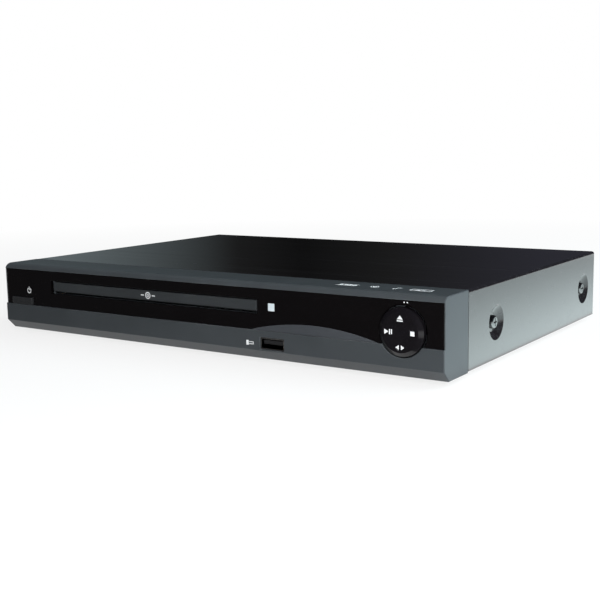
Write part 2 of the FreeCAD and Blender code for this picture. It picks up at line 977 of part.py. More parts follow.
def make_front_bezel():
    low = foot_drop
    reach = bezel_round - panel_head_recess
    radius = (reach * reach + panel_head_drop * panel_head_drop) / (2 * panel_head_drop)
    sweep = math.asin(reach / radius) / 2
    head = [Vector(-half_width, bezel_round, case_top),
            Vector(-half_width, bezel_round - radius * math.sin(sweep),
                   case_top - radius * (1 - math.cos(sweep))),
            Vector(-half_width, panel_head_recess, panel_high)]
    corners = [head[2], Vector(-half_width, 0, panel_low), Vector(-half_width, 0, low + bezel_chamfer),
               Vector(-half_width, bezel_chamfer, low), Vector(-half_width, bezel_depth, low),
               Vector(-half_width, bezel_depth, case_top), head[0]]
    edges = [Part.Arc(*head).toShape()]
    edges += [Part.makeLine(first, second) for first, second in zip(corners, corners[1:])]
    shell = Part.Face(Part.Wire(edges)).extrude(Vector(case_width, 0, 0))
    ends = [edge for edge in shell.Edges
            if edge.BoundBox.XLength < cut_over and edge.BoundBox.YMin < bezel_depth - cut_over]
    shell = shell.makeFillet(bezel_edge_round, ends)
    mitre = bezel_wall * math.tan(math.pi / 8)
    inside = half_width - bezel_wall
    cavity = prism("x", -inside, inside,
                   [(bezel_depth + cut_over, low + bezel_wall), (bezel_chamfer + mitre, low + bezel_wall),
                    (bezel_wall, low + bezel_chamfer + mitre), (bezel_wall, panel_low - bezel_wall),
                    (bezel_inside, panel_low - bezel_wall), (bezel_inside, case_top - bezel_wall),
                    (bezel_depth + cut_over, case_top - bezel_wall)])
    pocket_half = half_width - panel_side_lip
    pocket = block(-pocket_half, pocket_half, -cut_over, panel_back, panel_low, panel_high)
    ends = block(-half_width, half_width, -cut_over, panel_recess, panel_low, panel_high)
    shell = carve(shell, cavity, pocket, ends)
    collar = rod("y", rocker_well + bezel_wall, bezel_wall / 2, bezel_inside, rocker_centre, rocker_z)
    collar = collar.common(block(-inside, inside, 0, bezel_depth, low, panel_low))
    extras = [collar]
    for x, z in board_boss_places():
        front = bezel_wall if z < panel_low - bezel_wall else bezel_inside
        extras.append(rod("y", board_boss_radius, front, board_front, x, z))
    for x, y in lug_places():
        half = bezel_lug_width / 2
        extras.append(block(x - half, x + half, bezel_depth - bezel_lug_reach / 2,
                            bezel_depth + bezel_lug_reach,
                            pan_top, pan_top + bezel_wall))
    extras.append(rocker_cup())
    shell = join(shell, *extras)
    tools = front_cuts(bezel_inside + cut_over)
    tools[2] = rod("y", rocker_well, -cut_over, bezel_inside, rocker_centre, rocker_z)
    half = usb_width / 2 + usb_gap
    tall = usb_tall / 2 + usb_gap
    tools.append(block(usb_centre - half, usb_centre + half, -cut_over, bezel_inside + cut_over,
                       usb_z - tall, usb_z + tall))
    high = display_height / 2 - display_window_inset
    tools.append(block(display_left + display_window_inset, display_right - display_window_inset,
                       panel_recess, bezel_inside + cut_over,
                       foot_drop + display_level - high, foot_drop + display_level + high))
    for x, z in board_boss_places():
        tools.append(rod("y", screw_hole, board_front - screw_length, board_front + cut_over, x, z))
    for x, y in lug_places():
        tools.append(rod("z", screw_hole, pan_top - cut_over, pan_top + bezel_wall + cut_over, x, y))
    tools.append(rod("z", gimbal_pin + gimbal_fit, rocker_z - rocker_radius, rocker_z + rocker_radius,
                     rocker_centre, rocker_pivot))
    return carve(shell, *tools)


def make_window_panel():
    half = half_width - panel_side_lip - panel_gap
    low = panel_low + panel_gap
    plate = block(-half, half, panel_recess, panel_back, low, panel_high - panel_gap)
    edge = lathe("y", rocker_centre, rocker_z,
                 [(0, panel_recess), (rocker_well + rocker_well_edge, panel_recess),
                  (rocker_well, panel_recess + rocker_well_edge), (0, panel_recess + rocker_well_edge)])
    return carve(plate, *front_cuts(panel_back + cut_over), arc_disc(0), edge)


def arc_disc(inset):
    """Round bar whose top is the arc's upper edge."""
    half = (arc_right - arc_left) / 2
    radius = (half * half + arc_rise * arc_rise) / (2 * arc_rise)
    return rod("y", radius - inset, panel_recess - cut_over, panel_back, arc_left + half,
               panel_low + arc_rise - radius)


def make_accent_arc():
    low = panel_low + panel_gap
    wedge = prism("x", arc_left, arc_right,
                  [(arc_foot_recess, low), (panel_recess, panel_low + arc_rise),
                   (panel_back, panel_low + arc_rise), (panel_back, low)])
    well = rod("y", rocker_well, 0, panel_back, rocker_centre, rocker_z)
    return carve(wedge.common(arc_disc(arc_gap)), well)


def make_status_lens():
    half = lens_square / 2
    z = foot_drop + lens_height
    return block(lens_centre - half, lens_centre + half, panel_recess, bezel_inside, z - half, z + half)


def make_power_button():
    half = button_width / 2
    high = button_low + button_height
    cap = block(button_centre - half, button_centre + half, -button_proud, button_back, button_low, high)
    front = [edge for edge in cap.Edges if edge.BoundBox.YMax < 0]
    cap = cap.makeFillet(button_round, front)
    flange_front = bezel_inside + button_flange_gap
    flange_back = flange_front + button_flange_sheet
    wide = half + button_flange
    flange = block(button_centre - wide, button_centre + wide, flange_front, flange_back,
                   button_low - button_flange + button_gap,
                   high + button_flange)
    neck = block(button_centre - half, button_centre + half, button_back - button_round, flange_back,
                 button_low, high)
    arm = stem_size / 2
    stem = block(button_centre - arm, button_centre + arm, flange_front, switch_front - plunger_reach,
                 button_z - arm, button_z + arm)
    return join(cap, neck, flange, stem)


def make_switch_plunger():
    half = plunger_size / 2
    return block(button_centre - half, button_centre + half, switch_front - plunger_reach,
                 switch_front + plunger_depth,
                 button_z - half, button_z + half)


def make_power_switch():
    body = block(button_centre - switch_half, button_centre + switch_half, switch_front,
                 switch_front + switch_length,
                 case_board_high, button_z + switch_rise)
    half = plunger_size / 2 + plunger_gap
    depth = plunger_depth + button_travel + plunger_gap
    return carve(body, block(button_centre - half, button_centre + half, switch_front - cut_over,
                             switch_front + depth,
                             button_z - half, button_z + half))


def make_control_disc():
    face = -rocker_proud
    rim = face + rocker_bevel_depth
    inner = rocker_radius - rocker_bevel
    shape = lathe("y", rocker_centre, rocker_z,
                  [(0, face + rocker_dish), (inner * rocker_face_share, face), (inner, face),
                   (rocker_radius, rim),
                   (rocker_radius, rocker_skirt), (0, rocker_skirt)])
    stem = rod("y", rocker_stem_radius, rocker_skirt, rocker_pivot + gimbal_half, rocker_centre, rocker_z)
    reach = gimbal_outer - gimbal_gap / 2
    pins = rod("x", gimbal_pin, rocker_centre - reach, rocker_centre + reach, rocker_pivot, rocker_z)
    swing = rocker_leg_offset * math.sin(math.radians(rocker_tilt))
    tip = tact_face - tact_key_height - rocker_leg_gap - swing
    legs = [rod("y", rocker_leg_radius, rocker_skirt, tip, x, z) for x, z in leg_places()]
    return join(shape, stem, pins, *legs)


def leg_places():
    return [(rocker_centre + rocker_leg_offset * across, rocker_z + rocker_leg_offset * up)
            for across, up in ((1, 0), (-1, 0), (0, 1), (0, -1))]


def make_rocker_gimbal():
    low = rocker_pivot - gimbal_half
    high = rocker_pivot + gimbal_half
    ring = carve(rod("y", gimbal_outer, low, high, rocker_centre, rocker_z),
                 rod("y", gimbal_inner, low - cut_over, high + cut_over, rocker_centre, rocker_z),
                 rod("x", gimbal_pin + gimbal_fit, rocker_centre - rocker_radius,
                     rocker_centre + rocker_radius,
                     rocker_pivot, rocker_z))
    reach = gimbal_outer + gimbal_gap + gimbal_pin_length
    start = (gimbal_inner + gimbal_outer) / 2
    pins = [rod("z", gimbal_pin, rocker_z + start, rocker_z + reach, rocker_centre, rocker_pivot),
            rod("z", gimbal_pin, rocker_z - reach, rocker_z - start, rocker_centre, rocker_pivot)]
    return join(ring, *pins)


def make_front_board():
    board = block(board_left, board_right, board_front, board_back, board_foot, board_head)
    return carve(board, *[rod("y", screw_pass, board_front - cut_over, board_back + cut_over, x, z)
                          for x, z in board_boss_places()])


def make_tact_switches():
    switches = []
    for x, z in leg_places():
        body = block(x - tact_half, x + tact_half, tact_face, board_front, z - tact_half, z + tact_half)
        switches.append(join(body, rod("y", tact_key_radius, tact_face - tact_key_height, tact_face, x, z)))
    return group(switches)


def make_display_module():
    z = foot_drop + display_level
    return block(display_left, display_right, board_front - display_depth, board_front,
                 z - display_height / 2, z + display_height / 2)


def make_remote_receiver():
    z = foot_drop + lens_height
    back = board_front
    front = back - receiver_depth
    body = block(lens_centre - receiver_half, lens_centre + receiver_half, front, back, z - receiver_half,
                 z + receiver_half)
    dome = Part.makeSphere(receiver_dome, Vector(lens_centre, front, z))
    return join(body, dome)


def make_usb_shell():
    half = usb_width / 2
    tall = usb_tall / 2
    box = block(usb_centre - half, usb_centre + half, usb_recess, board_front, usb_z - tall, usb_z + tall)
    mouth = block(usb_centre - half + usb_wall, usb_centre + half - usb_wall, usb_recess - cut_over,
                  board_front - usb_wall,
                  usb_z - tall + usb_wall, usb_z + tall - usb_wall)
    return carve(box, mouth)


def usb_tongue():
    half = usb_tongue_width / 2
    inside = usb_width / 2 - usb_wall
    low = usb_z - usb_tall / 2 + usb_wall
    high = usb_z + usb_tall / 2 - usb_wall
    back = board_front - usb_wall
    blade_high = high - usb_tongue_drop
    blade = block(usb_centre - half, usb_centre + half, usb_recess + usb_tongue_recess, back,
                  blade_high - usb_tongue_sheet, blade_high)
    base = block(usb_centre - inside, usb_centre + inside, back - usb_base, back, low, high)
    return join(blade, base)


def make_ribbon_cable():
    """Flat cable from the back of the control board down to the front edge of the main board."""
    half = cable_width / 2
    low = case_board_high
    bend = board_back + cable_bend
    end = main_front + cable_run
    outline = [(board_back, cable_height), (bend, cable_height), (main_front, low), (end, low),
               (end, low + cable_sheet), (main_front + cable_sheet, low + cable_sheet),
               (bend + cable_sheet, cable_height + cable_sheet), (board_back, cable_height + cable_sheet)]
    return prism("x", chip_centre - half, chip_centre + half, outline)


# Boards and sockets
def make_main_board():
    board = block(main_left, main_right, main_front, main_back, case_board_low, case_board_high)
    return carve(board, *board_holes())


def make_supply_board():
    board = block(supply_left, supply_right, supply_front, supply_back, case_board_low, case_board_high)
    return carve(board, *board_holes())


def board_holes():
    return [rod("z", screw_pass, case_board_low - cut_over, case_board_high + cut_over, x, y)
            for x, y, high in boss_places() if high == case_board_low]


def make_decoder_chip():
    return block(chip_centre - chip_half, chip_centre + chip_half, chip_back - chip_half,
                 chip_back + chip_half,
                 case_board_high, case_board_high + chip_sheet)


def make_heat_sink():
    low = case_board_high + chip_sheet
    base = block(chip_centre - chip_half, chip_centre + chip_half, chip_back - chip_half,
                 chip_back + chip_half, low, low + sink_base)
    fins = []
    step = (2 * chip_half - sink_fin) / (sink_fin_count - 1)
    for number in range(sink_fin_count):
        x = chip_centre - chip_half + number * step
        fins.append(block(x, x + sink_fin, chip_back - chip_half, chip_back + chip_half, low,
                          low + sink_height))
    return join(base, *fins)


def capacitor(x, y, radius, height):
    """Upright can with a rolled groove near its foot."""
    low = case_board_high
    groove = low + radius
    return lathe("z", x, y, [(0, low), (radius, low), (radius, groove - cap_bead),
                             (radius - cap_bead, groove),
                             (radius, groove + cap_bead), (radius, low + height - cap_bead),
                             (radius - cap_bead, low + height), (0, low + height)])


def make_capacitors():
    cans = [capacitor(chip_centre + (number - (cap_count - 1) / 2) * cap_pitch, cap_row, cap_radius,
                      cap_height)
            for number in range(cap_count)]
    cans.append(capacitor(supply_centre, bulk_back, bulk_radius, bulk_height))
    for across in (-1, 1):
        cans.append(capacitor(supply_centre + across * output_pitch / 2, output_back, output_radius,
                              output_height))
    return group(cans)


def make_transformer():
    """Ferrite E core round a taped winding on its bobbin."""
    x = supply_centre
    y = transformer_back
    low = case_board_high
    high = low + transformer_height
    core = block(x - transformer_half, x + transformer_half, y - transformer_length,
                 y + transformer_length, low, high)
    window = block(x - transformer_half - cut_over, x + transformer_half + cut_over,
                   y - transformer_length + winding_inset,
                   y + transformer_length - winding_inset, low + winding_inset, high - winding_inset)
    side = transformer_half + winding_over
    winding = block(x - side, x + side, y - transformer_length + winding_inset,
                    y + transformer_length - winding_inset,
                    low + winding_inset, high - winding_inset)
    upright = [edge for edge in winding.Edges
               if edge.BoundBox.XLength < cut_over and edge.BoundBox.YLength < cut_over]
    winding = winding.makeFillet(winding_over, upright)
    return join(carve(core, window), winding)


def make_hdmi_shell():
    half = hdmi_width / 2
    back = rear_face + hdmi_proud
    low = case_board_high
    slope = hdmi_tall / 3
    outline = [(hdmi_centre - half, low + hdmi_tall), (hdmi_centre + half, low + hdmi_tall),
               (hdmi_centre + half, low + slope), (hdmi_centre + half - slope, low),
               (hdmi_centre - half + slope, low), (hdmi_centre - half, low + slope)]
    inner = [(x - math.copysign(hdmi_wall, x - hdmi_centre),
              z + (hdmi_wall if z < low + hdmi_tall else -hdmi_wall))
             for x, z in outline]
    return carve(prism("y", back - hdmi_depth, back, outline),
                 prism("y", back - hdmi_depth + hdmi_wall, back + cut_over, inner))


def hdmi_tongue():
    half = hdmi_tongue_width / 2
    back = rear_face + hdmi_proud
    middle = case_board_high + hdmi_tall / 2
    return block(hdmi_centre - half, hdmi_centre + half, back - hdmi_depth + hdmi_wall,
                 back - hdmi_tongue_recess,
                 middle - hdmi_tongue_sheet / 2, middle + hdmi_tongue_sheet / 2)


def make_socket_tongues():
    return group([usb_tongue(), hdmi_tongue()])


def make_jack_housing():
    x0 = jack_first - jack_block_margin
    x1 = jack_places()[-1] + jack_block_margin
    body = block(x0, x1, rear_inside - jack_block_depth, rear_inside, case_board_high,
                 jack_z + jack_block_head)
    core = jack_radius - jack_wall - running_fit
    end = rear_face + jack_reach - jack_core_recess
    cores = [rod("y", core, rear_inside - jack_wall, end, x, jack_z) for x in jack_places()]
    holes = [rod("y", jack_pin_bore, rear_inside - jack_reach, end + cut_over, x, jack_z)
             for x in jack_places()]
    return carve(join(body, *cores), *holes)


def make_jack_shells():
    """Turned sleeves: a thicker root in the colour ring, an undercut, then the barrel that takes the plug."""
    bore = jack_radius - jack_wall
    root = jack_radius + jack_seat
    neck = jack_radius - jack_wall / 2
    face = rear_face + jack_ring_reach
    end = rear_face + jack_reach
    profile = [(bore, rear_inside), (root, rear_inside), (root, face), (neck, face),
               (neck, face + jack_relief), (jack_radius, face + jack_relief), (jack_radius, end), (bore, end)]
    return group(lathe("y", x, jack_z, profile) for x in jack_places())


def make_jack_ring(number):
    x = jack_places()[number]
    face = rear_face + jack_ring_reach
    hole = jack_radius + jack_seat + running_fit
    return carve(rod("y", jack_ring_radius, rear_inside, face, x, jack_z),
                 rod("y", hole, rear_inside - cut_over, face + cut_over, x, jack_z))


def make_mains_inlet():
    front = rear_face - inlet_depth
    back = rear_face + inlet_proud
    body = block(supply_centre - inlet_half, supply_centre + inlet_half, front, back,
                 inlet_z - inlet_half_height,
                 inlet_z + inlet_half_height)
    lobes = [rod("y", inlet_lobe, back - inlet_well, back + cut_over,
                 supply_centre + side * inlet_lobe_offset, inlet_z)
             for side in (-1, 1)]
    foot = block(supply_centre - inlet_half, supply_centre + inlet_half, front, rear_inside,
                 case_board_high, inlet_z)
    return carve(join(body, foot), join(*lobes))


def make_inlet_pins():
    back = rear_face + inlet_proud
    return group(rod("y", pin_radius, back - inlet_well, back - pin_recess,
                     supply_centre + side * pin_offset, inlet_z)
                 for side in (-1, 1))


# Tray and its gear train. From here X is measured from the middle of the tray.
def make_tray_door():
    half = door_width / 2
    door = block(-half, half, door_recess, tray_front, door_low, door_low + door_height)
    front = [edge for edge in door.Edges if edge.BoundBox.YMax < door_recess + door_round]
    return door.makeFillet(door_round, front)


def make_tray():
    plate = block(-tray_half, tray_half, tray_front, tray_rear, tray_low, tray_high)
    inside = tray_half - tray_wall
    under = block(-inside, inside, tray_front + tray_wall, tray_rear + cut_over, tray_low - cut_over,
                  tray_under)
    wells = [rod("z", well_radius, well_floor, tray_high + cut_over, 0, spindle_y),
             rod("z", small_disc_radius + disc_margin, well_floor - small_well_depth, tray_high, 0,
                 spindle_y)]
    for side in (-1, 1):
        wells.append(rod("z", finger_radius, well_floor - small_well_depth, tray_high + cut_over,
                         side * (well_radius - finger_inset), spindle_y))
    plate = carve(plate, under, *wells)
    pinion_lane = rack_line + 2 * rack_gear_radius + 2 * gear_module
    pitch = (tray_rear - tray_front - tray_rib_tail) / tray_rib_count
    ribs = []
    for number in range(tray_rib_count):
        y = tray_front + pitch * (number + 1)
        for x0, x1 in ((pinion_lane, -spindle_slot_half), (spindle_slot_half, inside)):
            ribs.append(block(x0, x1, y, y + tray_rib, tray_under - tray_rib_drop, tray_under))
    plate = join(plate, rack(), *ribs)
    slot = join(rod("z", spindle_slot_half, tray_low - cut_over, tray_high + cut_over, 0, spindle_y),
                block(-spindle_slot_half, spindle_slot_half, spindle_y, tray_rear + cut_over,
                      tray_low - cut_over,
                      tray_high + cut_over))
    return carve(plate, slot)


def rack():
    """Straight teeth along the tray's left wall, facing its middle; one tooth stands at the gear's axis."""
    pitch = math.pi * gear_module
    slope = math.tan(pressure_angle)
    half = pitch / 4 - flank_relief
    tip_half = half - addendum_share * gear_module * slope
    root_half = half + dedendum_share * gear_module * slope
    root = rack_line - dedendum_share * gear_module
    tip = rack_line + addendum_share * gear_module
    ahead = math.floor((gear_back - tray_front - tray_wall) / pitch)
    behind = math.floor((tray_travel + rack_gear_radius) / pitch)
    outline = [(-tray_half + tray_wall / 2, tray_rear), (-tray_half + tray_wall / 2, tray_front)]
    outline.append((root, tray_front))
    for number in range(-ahead, behind + 1):
        y = gear_back + number * pitch
        outline += [(root, y - root_half), (tip, y - tip_half), (tip, y + tip_half), (root, y + root_half)]
    outline.append((root, tray_rear))
    return prism("z", tray_low, tray_under, outline)


def make_tray_gear():
    upper = gear(gear_module, rack_gear_teeth, math.pi + math.pi / rack_gear_teeth, gear_low, gear_high,
                 gear_x, gear_back)
    wheel = gear(gear_module, wheel_teeth, 0, wheel_low, wheel_high, gear_x, gear_back)
    hub = rod("z", gear_hub_radius, wheel_low, gear_high, gear_x, gear_back)
    bore = rod("z", post_radius + running_fit, wheel_low - cut_over, gear_high + cut_over, gear_x, gear_back)
    return carve(join(upper, wheel, hub), bore)


def make_pulley_gear():
    pinion = gear(gear_module, pinion_teeth, math.pi + math.pi / pinion_teeth, wheel_low, pulley_low,
                  pulley_x, gear_back)
    pulley = grooved_pulley(pulley_radius, pulley_groove, pulley_x)
    return carve(join(pinion, pulley), rod("z", post_radius + running_fit, wheel_low - cut_over,
                                           pulley_high + cut_over, pulley_x, gear_back))


def grooved_pulley(radius, groove, x):
    half = belt_size / 2 + belt_gap
    root = groove - belt_gap
    return lathe("z", x, gear_back, [
        (0, pulley_low), (radius, pulley_low), (radius, belt_level - half - belt_drop / 2),
        (root, belt_level - half), (root, belt_level + half),
        (radius, belt_level + half + belt_drop / 2), (radius, pulley_high), (0, pulley_high)])


def make_motor_pulley():
    pulley = grooved_pulley(motor_pulley_radius, motor_groove, motor_offset)
    shaft = rod("z", motor_shaft_radius, motor_high - motor_shaft_depth, pulley_low, motor_offset,
                gear_back)
    return join(pulley, shaft)


def belt_loop(inset):
    """Face bounded by the belt's path at a given distance outside the two grooves."""
    big = pulley_groove + inset
    small = motor_groove + inset
    gap = motor_offset - pulley_x
    lean = math.acos((big - small) / gap)
    z = belt_level - belt_size / 2
    upper_big = Vector(pulley_x + big * math.cos(lean), gear_back + big * math.sin(lean), z)
    lower_big = Vector(pulley_x + big * math.cos(lean), gear_back - big * math.sin(lean), z)
    upper_small = Vector(motor_offset + small * math.cos(lean), gear_back + small * math.sin(lean), z)
    lower_small = Vector(motor_offset + small * math.cos(lean), gear_back - small * math.sin(lean), z)
    wire = Part.Wire([Part.Arc(upper_big, Vector(pulley_x - big, gear_back, z), lower_big).toShape(),
                      Part.makeLine(lower_big, lower_small),
                      Part.Arc(lower_small, Vector(motor_offset + small, gear_back, z),
                               upper_small).toShape(),
                      Part.makeLine(upper_small, upper_big)])
    return Part.Face(wire)


def make_drive_belt():
    rise = Vector(0, 0, belt_size)
    return carve(belt_loop(belt_size).extrude(rise), belt_loop(0).extrude(rise))


def make_loading_motor():
    body = rod("z", motor_radius, deck_top, motor_high, motor_offset, gear_back)
    crown = [edge for edge in body.Edges if edge.Closed and edge.BoundBox.ZMin > deck_top]
    body = body.makeFillet(motor_shaft_radius, crown)
    return carve(body, rod("z", motor_shaft_radius + running_fit,
                           motor_high - motor_shaft_depth - running_fit, motor_high + cut_over,
                           motor_offset, gear_back))


# Loader frame
def make_loader_frame():
    inner = deck_half - deck_wall
    rail_in = tray_half - rail_reach
    lip_in = tray_half - guide_lip_reach
    rail_low = rail_high - rail_sheet
    side = prism("y", deck_front, deck_rear,
                 [(deck_half, deck_low), (deck_half, guide_lip_high), (lip_in, guide_lip_high),
                  (lip_in, guide_lip_low), (guide_face, guide_lip_low), (guide_face, rail_high),
                  (rail_in, rail_high), (rail_in, rail_low), (inner, rail_low), (inner, deck_low)])
    floor = block(-deck_half, deck_half, deck_front, deck_rear, deck_low, deck_top)
    window_half = deck_half - deck_rim
    floor = carve(floor, block(-window_half, window_half, deck_bed, deck_rear - deck_rim,
                               deck_low - cut_over, deck_top + cut_over))
    pieces = both_sides(side)
    for x, top, shoulder in ((gear_x, gear_high - post_head_gap, wheel_low),
                             (pulley_x, pulley_high, wheel_low)):
        pieces.append(rod("z", post_radius, deck_low, top, x, gear_back))
        pieces.append(rod("z", post_shoulder_radius, deck_low, shoulder - gear_end_gap, x, gear_back))
    for y0 in (cam_back + cam_bed_gap, cam_back - cam_foot_depth - cam_bed_gap - cam_rail_sheet):
        pieces.append(block(-window_half, window_half, y0, y0 + cam_rail_sheet, deck_low,
                            deck_top + cam_rail_height))
    ear_in = lift_half + pivot_ear_gap
    ear = block(ear_in, ear_in + pivot_ear_sheet, pivot_y - pivot_ear_half, pivot_y + pivot_ear_half,
                deck_low,
                pivot_z + pivot_ear_rise)
    pieces += both_sides(ear)
    for y in ear_places:
        pieces += both_sides(block(inner, deck_half + ear_width, y, y + ear_length, deck_low, deck_top))
    frame = join(floor, *pieces)
    tools = [rod("x", pivot_radius + running_fit, -ear_in - pivot_ear_sheet - cut_over,
                 ear_in + pivot_ear_sheet + cut_over,
                 pivot_y, pivot_z)]
    for y in ear_places:
        for x in (-1, 1):
            tools.append(rod("z", screw_pass, deck_low - cut_over, deck_top + cut_over,
                             x * (deck_half + ear_width / 2), y + ear_length / 2))
    for x in (-1, 1):
        tools.append(rod("z", screw_hole, guide_lip_high - screw_length, guide_lip_high + cut_over,
                         x * bridge_screw(), spindle_y))
    return carve(frame, *tools)


def make_clamp_bridge():
    """Pressed strip over the tray with a stepped foot at each end."""
    foot_in = deck_half - bridge_foot
    foot_top = guide_lip_high + bridge_sheet
    step_in = foot_in - bridge_sheet
    half = [(deck_half, guide_lip_high), (deck_half, foot_top), (foot_in, foot_top), (foot_in, bridge_high)]
    under = [(-step_in, bridge_low), (step_in, bridge_low), (step_in, guide_lip_high)]
    outline = half + [(-x, z) for x, z in reversed(half)] + [(-step_in, guide_lip_high)] + under
    strip = prism("y", spindle_y - bridge_half, spindle_y + bridge_half, outline)
    holes = [rod("z", bridge_hole, bridge_low - cut_over, bridge_high + cut_over, 0, spindle_y)]
    holes += [rod("z", screw_pass, guide_lip_high - cut_over, foot_top + cut_over, side * bridge_screw(),
                  spindle_y) for side in (-1, 1)]
    return carve(strip, *holes)


def make_clamp_puck():
    low = puck_low
    step = low + puck_sheet
    return lathe("z", 0, spindle_y, [
        (hub_radius, low), (puck_radius, low), (puck_radius, step), (puck_neck, step),
        (puck_neck, bridge_high), (0, bridge_high), (0, step), (hub_radius, step)])


def make_clamp_yoke():
    return rod("z", yoke_radius, bridge_high, bridge_high + yoke_plate, 0, spindle_y)


# Traverse
def make_lift_frame():
    outer = block(-lift_half, lift_half, lift_front, lift_rear, lift_height, lift_high)
    hole_half = lift_half - lift_width
    inner = block(-hole_half, hole_half, lift_front + lift_width, lift_rear - lift_width,
                  lift_height - cut_over, lift_high + cut_over)
    pins = rod("x", pivot_radius, -lift_half - pivot_length, lift_half + pivot_length, pivot_y, pivot_z)
    pins = carve(pins, block(-hole_half, hole_half, lift_front, lift_rear, 0, case_top))
    boss = block(lift_half - lift_width, lift_half, pivot_y - pivot_ear_half / 2, lift_rear, lift_height,
                 pivot_z + pivot_radius)
    lug = block(-lift_lug_half, lift_lug_half, lift_front, lift_front + lift_lug_sheet, lift_height,
                lift_pin_height + lift_lug_margin)
    pin = rod("y", lift_pin_radius, cam_middle - cam_wall / 2 - cam_pin_over, lift_front + lift_lug_sheet,
              0, lift_pin_height)
    frame = join(carve(outer, inner), pins, lug, pin, *both_sides(boss))
    return carve(frame, *[rod("z", damper_screw_radius + screw_fit, lift_height - cut_over,
                              lift_high + cut_over, x, y)
                          for x, y in damper_places()])


def damper_places():
    x = lift_half - lift_width / 2
    front = lift_front + damper_front
    return [(side * x, y) for side in (-1, 1) for y in (front, lift_rear - damper_back)]


def make_dampers():
    bore = damper_screw_radius + screw_fit
    cap = plate_high + damper_cap
    return group(lathe("z", x, y, [
        (bore, lift_high), (damper_radius, lift_high), (damper_radius, plate_low),
        (damper_neck, plate_low), (damper_neck, plate_high), (damper_radius, plate_high),
        (damper_radius, cap), (bore, cap)]) for x, y in damper_places())


def make_damper_screws():
    cap = plate_high + damper_cap
    crown = cap + screw_head_height
    return group(lathe("z", x, y, [
        (0, lift_height), (damper_screw_radius, lift_height), (damper_screw_radius, cap),
        (screw_head_radius, cap), (screw_head_radius, cap + screw_head_height / 2),
        (screw_head_radius / 2, crown), (0, crown)]) for x, y in damper_places())


def make_traverse_plate():
    half = lift_half - plate_inset
    front = lift_front + plate_front_inset
    plate = block(-half, half, front, lift_rear - plate_tail_inset, plate_low, plate_high)
    tab_left = -screw_offset - sled_motor_radius - sled_tab_tail
    tab_back = sled_motor_back + sled_tab_sheet
    tab = join(block(-screw_offset - sled_tab_half, -screw_offset + sled_tab_half, sled_motor_back,
                     tab_back,
                     lead_z - sled_tab_half, lead_z + sled_tab_half),
               block(tab_left, -screw_offset, sled_motor_back, tab_back, plate_low, lead_z))
    window = block(plate_window_left - lift_half, rod_half + plate_window_right,
                   spindle_y + plate_window_front, plate_window_rear,
                   plate_low - cut_over, plate_high + cut_over)
    reach = sled_motor_radius + sled_window_gap
    motor_window = block(-screw_offset - reach, -screw_offset + reach,
                         sled_motor_back - sled_motor_length - sled_window_gap,
                         sled_motor_back + sled_tab_sheet, plate_low - cut_over, plate_high + cut_over)
    tools = [rod("z", damper_neck + damper_neck_gap, plate_low - cut_over, plate_high + cut_over, x,
                 y) for x, y in damper_places()]
    plate = join(carve(plate, window, motor_window, *tools), tab)
    return carve(plate, rod("y", lead_radius + lead_gap, sled_motor_back - cut_over,
                            sled_motor_back + sled_tab_sheet + cut_over,
                            -screw_offset, lead_z))


def make_spindle_motor():
    body = rod("z", spindle_motor_radius, plate_high, motor_crown, 0, spindle_y)
    rim = [edge for edge in body.Edges if edge.Closed and edge.BoundBox.ZMin > plate_high]
    body = body.makeFillet(spindle_radius, rim)
    return carve(body, rod("z", spindle_radius + running_fit, motor_crown - spindle_depth - running_fit,
                           motor_crown + cut_over, 0, spindle_y))


def make_turntable():
    cone = hub_radius - hub_cone
    return lathe("z", 0, spindle_y, [(0, motor_crown - spindle_depth),
                                     (spindle_radius, motor_crown - spindle_depth),
                                     (spindle_radius, turntable_low), (turntable_radius, turntable_low),
                                     (turntable_radius, seat_level), (hub_radius, seat_level),
                                     (hub_radius, hub_high - hub_cone), (cone, hub_high), (0, hub_high)])


def make_guide_rods():
    return group(rod("y", rod_radius, rod_front, rod_front + rod_length, side * rod_half,
                     rod_z) for side in (-1, 1))


def make_rod_clips():
    clips = []
    for side in (-1, 1):
        for end in (rod_front + clip_bury - clip_length, rod_front + rod_length - clip_bury):
            x = side * rod_half
            clip = block(x - clip_half, x + clip_half, end, end + clip_length, plate_high,
                         plate_high + clip_rise)
            clips.append(carve(clip, rod("y", rod_radius, rod_front, rod_front + rod_length, x, rod_z)))
    end = rod_front + rod_length - clip_bury
    bearing = block(-screw_offset - bearing_half, -screw_offset + bearing_half, end, end + clip_length,
                    plate_high,
                    lead_z + bearing_half)
    bore = rod("y", lead_radius + running_fit, end - cut_over, end + clip_length + cut_over,
               -screw_offset, lead_z)
    clips.append(carve(bearing, bore))
    return group(clips)


def make_sled_motor():
    front = sled_motor_back - sled_motor_length
    body = rod("y", sled_motor_radius, front, sled_motor_back, -screw_offset, lead_z)
    return carve(body, rod("y", lead_radius + running_fit, sled_motor_back - clip_length,
                           sled_motor_back + cut_over, -screw_offset, lead_z))


def make_lead_screw():
    end = rod_front + rod_length - clip_bury + clip_length
    return rod("y", lead_radius, sled_motor_back - clip_length + lead_gap, end, -screw_offset, lead_z)


